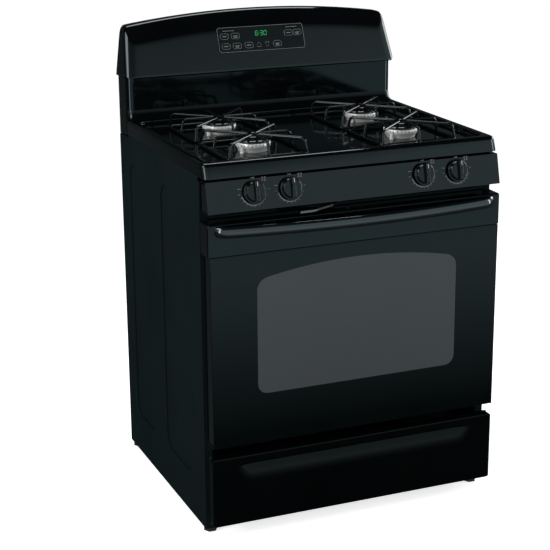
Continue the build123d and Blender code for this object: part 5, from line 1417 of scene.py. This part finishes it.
@dataclass(frozen=True)
class Door:
    """The oven door's outer glass with its window, the bowed handle and the woven seal."""

    half: float = 0.375
    front: float = -0.3115
    thick: float = 0.005
    z: Pair = (0.244, 0.711)
    edge: float = 0.0015
    pane_corner: float = 0.003
    window_half: float = 0.261
    window_foot: float = 0.364
    window_side: float = 0.645
    window_crown: float = 0.674
    window_corner: float = 0.025
    arch_steps: int = 16
    handle_half: float = 0.367
    handle_z: Pair = (0.757, 0.784)
    handle_apex: float = -0.360
    handle_end: float = -0.326
    handle_thick: float = 0.017
    handle_sides: int = 28
    handle_bend: float = 0.032
    handle_steps: tuple[int, int] = (14, 48)  # spans of an end's bend and of the bow
    handle_sink: float = 0.0006
    band_front: float = -0.309
    rope_half: float = 0.311
    rope_z: Pair = (0.266, 0.701)
    rope_y: float = -0.2587
    rope_radius: float = 0.0029
    rope_bend: float = 0.025

    def build_glass(self) -> None:
        """Models the outer pane, with the window's face apart from the black border."""
        shape = Shape()
        half = self.window_half
        window = shape.sheet([(-half, 0, self.window_foot), (half, 0, self.window_foot), (half, 0, self.window_side),
                              (-half, 0, self.window_side)])
        head = max(window.edges, key=lambda e: sum(v.co.z for v in e.verts))
        bmesh.ops.subdivide_edges(shape.bm, edges=[head], cuts=self.arch_steps - 1)
        rise = self.window_crown - self.window_side
        radius = (half**2 + rise**2) / (2 * rise)
        for vert in shape.bm.verts:
            if vert.co.z > self.window_side - MERGE:
                vert.co.z = self.window_crown - radius + sqrt(radius**2 - vert.co.x**2)
        corners = [v for v in shape.bm.verts if abs(v.co.x) > half - MERGE]
        window = shape.round_corners(shape.bm.faces[:][0], corners, self.window_corner)
        window.material_index = 1
        border = self.pane_ring(shape, 3 * self.edge, 0)
        rings = [self.pane_ring(shape, self.edge - inset, push) for inset, push in
                 arc((0, self.edge), self.edge, -90, 0, 4)]
        rings.append(self.pane_ring(shape, 0, self.thick))
        for inside, outside in ((window.edges, border), (border, rings[0])):
            bmesh.ops.triangle_fill(shape.bm, use_beauty=True, edges=[*inside, *outside], normal=(0, -1, 0))
        for near, far in zip(rings, rings[1:]):
            bmesh.ops.bridge_loops(shape.bm, edges=[*near, *far])
        bmesh.ops.edgeloop_fill(shape.bm, edges=rings[-1])
        bmesh.ops.translate(shape.bm, verts=shape.bm.verts, vec=(0, self.front, 0))
        shape.outwards()
        shape.piece("door_glass_pane", "door", "door_black_glass", DOOR_GLASS, WINDOW_FILM, replaces=["door_glass"])

    def pane_ring(self, shape: Shape, inset: float, push: float) -> list[BMEdge]:
        """Makes one loop of the pane's edge.

        Args:
            shape: Shape under construction.
            inset: Distance inside the pane's outline.
            push: Distance behind the front.

        Returns:
            The loop's edges.
        """
        half, low, high = self.half - inset, self.z[0] + inset, self.z[1] - inset
        return shape.ring([(-half, push, low), (half, push, low), (half, push, high), (-half, push, high)],
                          self.pane_corner, 4)

    def build_handle(self) -> None:
        """Sweeps the bowed bar from one end on the band to the other."""
        shape = Shape()
        rise = self.handle_end - self.handle_apex
        bow = (self.handle_half**2 + rise**2) / (2 * rise)
        middle = bow - self.handle_thick / 2
        centre = Vector((0, self.handle_apex + bow, sum(self.handle_z) / 2))
        post_x = self.handle_half - self.handle_thick / 2
        lean = asin((post_x - self.handle_bend) / (middle - self.handle_bend))
        tall, deep = (self.handle_z[1] - self.handle_z[0]) / 2, self.handle_thick / 2
        foot_y = self.band_front + self.handle_sink
        turn_y = centre.y - (middle - self.handle_bend) * cos(lean)
        upright = Matrix.Translation((-post_x, turn_y, centre.z)) @ Matrix.Rotation(pi / 2, 4, "X")
        oval = bmesh.ops.create_circle(shape.bm, segments=self.handle_sides, radius=1.0,
                                       matrix=upright @ Matrix.Diagonal((deep, tall, 1, 1)))["verts"]
        edges = list({e for v in oval for e in v.link_edges})
        ends = Vector((-post_x + self.handle_bend, turn_y, centre.z))
        short, long = self.handle_steps
        bends = ((ends, pi / 2 - lean, short), (centre, 2 * lean, long),
                 (ends * Vector((-1, 1, 1)), pi / 2 - lean, short))
        for spot, turn, steps in bends:
            spun = bmesh.ops.spin(shape.bm, geom=[*{v for e in edges for v in e.verts}, *edges], cent=spot,
                                  axis=(0, 0, 1), angle=turn, steps=steps)
            edges = only(BMEdge, spun["geom_last"])
        bmesh.ops.remove_doubles(shape.bm, verts=shape.bm.verts, dist=MERGE)
        whole = [*shape.bm.verts, *shape.bm.edges, *shape.bm.faces]
        bmesh.ops.bisect_plane(shape.bm, geom=whole, plane_co=(0, foot_y, 0), plane_no=(0, 1, 0), clear_outer=True)
        bmesh.ops.holes_fill(shape.bm, edges=[e for e in shape.bm.edges if e.is_boundary])
        shape.outwards()
        shape.piece("door_handle_bar", "door", "handle_plastic", HANDLE_GLOSS, replaces=["door_handle"])

    def build_seal(self) -> None:
        """Lays the woven rope round the oven's mouth."""
        half, y, (low, high) = self.rope_half, self.rope_y, self.rope_z
        path = [(0, y, low), (half, y, low), (half, y, high), (-half, y, high), (-half, y, low), (0, y, low)]
        rope = Shape().wire(path, self.rope_radius, self.rope_bend, closed=True, sides=12)
        rope.piece("door_gasket_rope", "root", "gasket_weave", GASKET_WEAVE, replaces=["door_gasket"])

    def build(self) -> None:
        """Builds the glass, the handle and the seal."""
        self.build_glass()
        self.build_handle()
        self.build_seal()


@dataclass(frozen=True)
class Drawer:
    """The drawer's front with its finger scoop."""

    half: float = 0.377
    z: Pair = (0.035, 0.213)
    y: Pair = (-0.308, -0.284)
    corner: float = 0.012
    round: float = 0.005
    scoop_z: Pair = (0.112, 0.190)
    scoop_half: Pair = (0.275, 0.345)  # from here to here the scoop runs out at its ends
    scoop_depth: float = 0.011
    ledge: float = 0.009
    grid: tuple[int, int] = (150, 120)
    crowding: float = 0.35  # how much the grid's rows crowd towards the edges

    def depth(self, x: float, z: float) -> float:
        """Gives how far the scoop lies behind the face, faired in below and at its ends.

        Args:
            x: Place across.
            z: Height.

        Returns:
            The depth, from zero.
        """
        low, high = self.scoop_z
        inner, outer = self.scoop_half
        deep = self.scoop_depth * max(0.0, (z - low) / (high - low)) ** 2
        for share in ((outer - abs(x)) / (outer - inner), (high + self.ledge / 2 - z) / self.ledge):
            share = min(1.0, max(0.0, share))
            deep *= share * share * (3 - 2 * share)
        return deep

    def spot(self, u: float, v: float) -> Point:
        """Gives a point of the front.

        Args:
            u: Share across, from -1 to 1.
            v: Share up, from -1 to 1.

        Returns:
            The point, drawn in at the corners and rolled back at the edges.
        """
        middle, tall = sum(self.z) / 2, (self.z[1] - self.z[0]) / 2
        x = self.half * sin(u * pi / 2)
        z = middle + tall * (self.crowding * sin(v * pi / 2) + (1 - self.crowding) * v)
        side, end = self.half - abs(x), tall - abs(z - middle)
        if side < self.corner and end < self.corner:
            a, b = self.corner - side, self.corner - end
            squeeze = max(a, b) / hypot(a, b)
            x += (1 if x > 0 else -1) * a * (squeeze - 1)
            z += (1 if z > middle else -1) * b * (squeeze - 1)
            side, end = self.half - abs(x), tall - abs(z - middle)
        near = min(1.0, hypot(max(0, 1 - side / self.round), max(0, 1 - end / self.round)))
        drop = self.round * (1 - sqrt(1 - near**2))
        return x, self.y[0] + drop + self.depth(x, z), z

    def build(self) -> None:
        """Models the front as a faired sheet with rounded edges and walls that run back."""
        shape = Shape()
        made = shape.drape(self.grid, self.spot)
        for vert in only(BMVert, made):
            vert.co.y = self.y[1]
        bmesh.ops.edgeloop_fill(shape.bm, edges=only(BMEdge, made))
        shape.outwards()
        # the drawer front takes the darker copy of the black enamel, painted shade
        shape.piece("drawer_front_panel", "drawer", "black_enamel", DRAWER_PAINTED_SHADE, replaces=["drawer_front"])


@dataclass(frozen=True)
class Insulation:
    """The wool jacket round the oven, as five quilted batts."""

    gap: float = 0.0015
    pillow: float = 0.004
    cell: float = 0.09
    oven_half: float = 0.3016
    oven_z: Pair = (0.2684, 0.6916)
    oven_rear: float = 0.2316
    side_front: float = -0.18
    rear_top: float = 0.64
    edge: float = 0.004
    cuts: int = 14
    soft_from: float = 0.012  # a batt thinner than twice this is drawn in less

    def build(self) -> None:
        """Builds the batts inside the space that the solid holds."""
        low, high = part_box("oven_insulation")
        near = self.oven_half + self.gap
        batts = [((low.x, self.side_front, low.z), (-near, high.y, high.z)),
                 ((near, self.side_front, low.z), (high.x, high.y, high.z)),
                 ((-near, low.y, self.oven_z[1] + self.gap), (near, self.oven_rear, high.z)),
                 ((-near, low.y, low.z), (near, self.oven_rear, self.oven_z[0] - self.gap)),
                 ((-near, self.oven_rear + self.gap, low.z), (near, high.y, self.rear_top))]
        shape = Shape()
        for start, end in batts:
            shape.add(self.batt(start, end))
        jacket = shape.piece("insulation_batts", "root", "insulation_wool", WOOL, replaces=["oven_insulation"])

    def batt(self, start: Point, end: Point) -> Shape:
        """Makes one quilted slab.

        Args:
            start: Lowest corner.
            end: Highest corner.

        Returns:
            The slab, drawn in along its quilting lines.
        """
        shape = Shape().block(start, end, self.edge, 2)
        bmesh.ops.subdivide_edges(shape.bm, edges=list(shape.bm.edges), cuts=self.cuts, use_grid_fill=True)
        size = [b - a for a, b in zip(start, end)]
        thin = size.index(min(size))
        middle = (start[thin] + end[thin]) / 2
        for vert in shape.bm.verts:
            across = [vert.co[i] for i in range(3) if i != thin]
            puff = abs(sin(pi * across[0] / self.cell) * sin(pi * across[1] / self.cell))
            reach = max(size[thin] / 2, MERGE)
            share = (vert.co[thin] - middle) / reach
            draw = self.pillow * (1 - sqrt(puff)) * min(1.0, reach / self.soft_from)
            vert.co[thin] = middle + share * (reach - draw)
        return shape.outwards()


class Carried:
    """The solids that keep their own shape and only get a finish."""

    FINISHES = {
        BLACK_ENAMEL: ("control_panel", "cooktop", "drawer_front"),
        BAND_ENAMEL: ("backguard_riser", "door_band", "door_frame", "front_frame"),
        SIDE_ENAMEL: ("side_panel_left", "side_panel_right"),
        TOUCH_FACE: ("control_glass",),
        INNER_GLASS: ("door_inner_glass",),
        OVEN_ENAMEL: ("oven_liner", "oven_floor", "door_liner"),
        BURNER_STEEL: ("bake_burner", "broil_burner"),
        FLUE_STEEL: ("oven_flue",),
        RACK_CHROME: ("thermostat_probe",),
        ZINC_STEEL: ("base_frame", "drawer_rails", "hinge_arms", "door_hinges", "rear_panel", "backguard_cover",
                     "rear_panel_screws", "gas_manifold"),
        DRAWER_STEEL: ("drawer_pan", "drawer_runners"),
        LATCH_STEEL: ("latch_lever",),
        VALVE_BRASS: ("gas_valves",),
        TUBE_ALUMINIUM: ("burner_tubes", "pressure_regulator"),
        CONTROL_BOX: ("oven_control",),
        GLAND_RUBBER: ("cord_gland",),
        CONSOLE_GLOSS: ("console_shell",),
        DOOR_GLASS: ("door_glass",),
        HANDLE_GLOSS: ("door_handle",),
        BURNER_ALUMINIUM: ("burner_heads",),
        CAP_ENAMEL: ("burner_caps",),
        IGNITER_CERAMIC: ("burner_igniters",),
        GASKET_WEAVE: ("door_gasket",),
        WOOL: ("oven_insulation",),
    }
    FAMILIES = {"grate_": GRATE_ENAMEL, "knob_": KNOB_PLASTIC, "levelling_leg_": DRAWER_STEEL,
                "oven_rack_": RACK_CHROME, "valve_stem_": VALVE_BRASS}

    def dress(self) -> None:
        """Gives each solid its finish."""
        for finish, names in self.FINISHES.items():
            for name in names:
                self.paint(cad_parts[name], finish)
        for name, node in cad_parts.items():
            for start, finish in self.FAMILIES.items():
                if name.startswith(start):
                    self.paint(node, finish)

    @staticmethod
    def paint(node: bpy.types.Object, finish: Finish) -> None:
        """Puts a finish on every slot of a solid.

        Args:
            node: The solid's object.
            finish: Finish to put on.
        """
        if not node.material_slots:
            node.data.materials.append(finish.material())
        for slot in node.material_slots:
            slot.material = finish.material()
        LOG.info("%s: %s", node.name, finish.name)


@dataclass(frozen=True)
class Lamp:
    """One soft box."""

    name: str
    spot: Point
    target: Point
    size: Pair
    watts: float

    def build(self) -> None:
        """Hangs the lamp and turns it to its target."""
        light = bpy.data.lights.new(self.name, "AREA")
        light.shape = "RECTANGLE"
        light.size, light.size_y = self.size
        light.energy = self.watts
        made = bpy.data.objects.new(self.name, light)
        made.visible_camera = False
        way = Vector(self.target) - Vector(self.spot)
        made.matrix_world = Matrix.Translation(self.spot) @ way.to_track_quat("-Z", "Y").to_matrix().to_4x4()
        bpy.context.scene.collection.objects.link(made)


@dataclass(frozen=True)
class Studio:
    """A pale floor, a white surround, soft boxes and the camera."""

    eye: Point = (-1.4923, -3.4093, 1.6726)
    yaw: float = 22.388
    pitch: float = 16.927
    roll: float = -0.447
    lens: float = 99.01
    sensor: float = 36.0
    floor_half: float = 14.0
    diffuse_level: float = 0.32
    dark_from: float = 0.45  # sine of the elevation where the surround starts to darken in reflections
    dark_to: float = 0.62
    ceiling: float = 0.03
    front_of: Pair = (-0.3, 0.3)  # from here to here the surround dims towards the back
    behind: float = 0.05
    floor_front: Pair = (-2.4, -0.9)  # from here to here the floor darkens in reflections, a painted shadow of the object, in metres
    floor_lift: float = 0.75
    air: Colour = (0.8, 0.96, 1.0, 1.0)  # the cool cast of the surround in reflections
    lamps: tuple[Lamp, ...] = (
        Lamp("overhead_box", (0.3, 1.0, 3.2), (0.3, 0.1, 0.9), (1.9, 0.8), 32.0),
        Lamp("left_strip", (-2.7, -1.3, 1.15), (0.0, -0.2, 0.8), (0.5, 1.9), 26.0),
        Lamp("right_strip", (2.5, -1.4, 1.15), (0.0, -0.2, 0.8), (0.5, 1.9), 26.0),
        Lamp("left_top_box", (-2.3, -0.5, 2.5), (-0.3, -0.3, 0.8), (1.3, 1.0), 26.0),
        Lamp("right_back_box", (2.7, 0.6, 1.6), (0.3, -0.3, 0.8), (1.3, 1.0), 26.0),
    )

    def build_world(self) -> None:
        """Makes the surround: white to the eye and in reflections, plain and dimmer as light."""
        world = bpy.data.worlds.new("surround")
        world.use_nodes = True
        bpy.context.scene.world = world
        nodes = Nodes(world.node_tree)
        output = world.node_tree.nodes["World Output"]
        plain = world.node_tree.nodes["Background"]
        plain.inputs["Color"].default_value = (1, 1, 1, 1)
        plain.inputs["Strength"].default_value = self.diffuse_level
        path = nodes.add("ShaderNodeLightPath").outputs
        way = nodes.add("ShaderNodeSeparateXYZ", {0: nodes.add("ShaderNodeTexCoord").outputs["Generated"]})
        dusk = nodes.spread(way.outputs["Z"], 1.0, self.ceiling, (self.dark_from, self.dark_to))
        front = nodes.spread(way.outputs["Y"], 1.0, self.behind, self.front_of)
        seen = nodes.maths("MAXIMUM", path["Is Camera Ray"], nodes.maths("MULTIPLY", dusk, front))
        cast = nodes.mix(path["Is Camera Ray"], self.air, (1, 1, 1, 1))
        white = nodes.add("ShaderNodeBackground", {"Color": cast, "Strength": seen})
        shown = nodes.maths("MAXIMUM", path["Is Camera Ray"], path["Is Glossy Ray"])
        shown = nodes.maths("MAXIMUM", shown, path["Is Transmission Ray"])
        mixed = nodes.add("ShaderNodeMixShader", {0: shown, 1: plain.outputs[0], 2: white.outputs[0]})
        world.node_tree.links.new(mixed.outputs[0], output.inputs["Surface"])

    def build_floor(self) -> None:
        """Lays a pale floor that keeps the object's shadow and is white to the eye; in reflections it is painted darker
        near and behind the object, a painted shadow.
        """
        shape = Shape()
        bmesh.ops.create_grid(shape.bm, x_segments=1, y_segments=1, size=self.floor_half)
        mesh = bpy.data.meshes.new("studio_floor")
        shape.bm.to_mesh(mesh)
        shape.bm.free()
        floor = bpy.data.objects.new("studio_floor", mesh)
        bpy.context.scene.collection.objects.link(floor)
        made = bpy.data.materials.new("studio_floor")
        made.use_nodes = True
        nodes = Nodes(made.node_tree)
        shader = made.node_tree.nodes["Principled BSDF"]
        shader.inputs["Roughness"].default_value = 0.9
        shader.inputs["Specular IOR Level"].default_value = 0.0
        path = nodes.add("ShaderNodeLightPath").outputs
        place = nodes.add("ShaderNodeSeparateXYZ", {0: nodes.add("ShaderNodeTexCoord").outputs["Object"]})
        # painted shadow: in reflections the floor's colour and glow fall off from 2.4 m in front of the object to 0.9 m
        # in front, and stay dark behind that
        painted_shadow_share = nodes.spread(place.outputs["Y"], 0.0, 1.0 - self.behind, self.floor_front)
        painted_shadow_share = nodes.maths("MULTIPLY", painted_shadow_share, path["Is Glossy Ray"])
        pale = nodes.mix(painted_shadow_share, (0.8, 0.8, 0.8, 1), (0, 0, 0, 1))
        made.node_tree.links.new(pale, shader.inputs["Base Color"])
        shown = nodes.maths("MAXIMUM", path["Is Camera Ray"], path["Is Glossy Ray"])
        shown = nodes.maths("SUBTRACT", nodes.maths("MAXIMUM", shown, path["Is Transmission Ray"]), painted_shadow_share)
        lift = nodes.maths("MULTIPLY", shown, self.floor_lift)
        cast = nodes.mix(path["Is Glossy Ray"], (1, 1, 1, 1), self.air)
        made.node_tree.links.new(cast, shader.inputs["Emission Color"])
        made.node_tree.links.new(lift, shader.inputs["Emission Strength"])
        mesh.materials.append(made)

    def build_camera(self) -> None:
        """Sets the camera where the photograph was taken from."""
        yaw, pitch, roll = radians(self.yaw), radians(self.pitch), radians(self.roll)
        ahead = Vector((sin(yaw) * cos(pitch), cos(yaw) * cos(pitch), -sin(pitch)))
        level = Vector((cos(yaw), -sin(yaw), 0))
        above = level.cross(ahead)
        right = cos(roll) * level + sin(roll) * above
        up = cos(roll) * above - sin(roll) * level
        camera = bpy.data.cameras.new("camera")
        camera.lens = self.lens
        camera.sensor_width = self.sensor
        made = bpy.data.objects.new("camera", camera)
        made.matrix_world = Matrix.Translation(self.eye) @ Matrix((right, up, -ahead)).transposed().to_4x4()
        bpy.context.scene.collection.objects.link(made)
        bpy.context.scene.camera = made

    def build(self) -> None:
        """Builds the surround, the floor, the lamps and the camera."""
        self.build_world()
        self.build_floor()
        for lamp in self.lamps:
            lamp.build()
        self.build_camera()
        bpy.context.scene.view_settings.view_transform = "Standard"


def main() -> None:
    """Builds the range piece by piece, and then the studio."""
    logging.basicConfig(level=logging.INFO, format="%(name)s %(message)s")
    Carried().dress()
    for assembly in (Console(), Cooktop(), ControlPanel(), Door(), Drawer(), Insulation()):
        LOG.info("building %s", type(assembly).__name__)
        assembly.build()
    Studio().build()


if __name__ == "__main__":
    main()
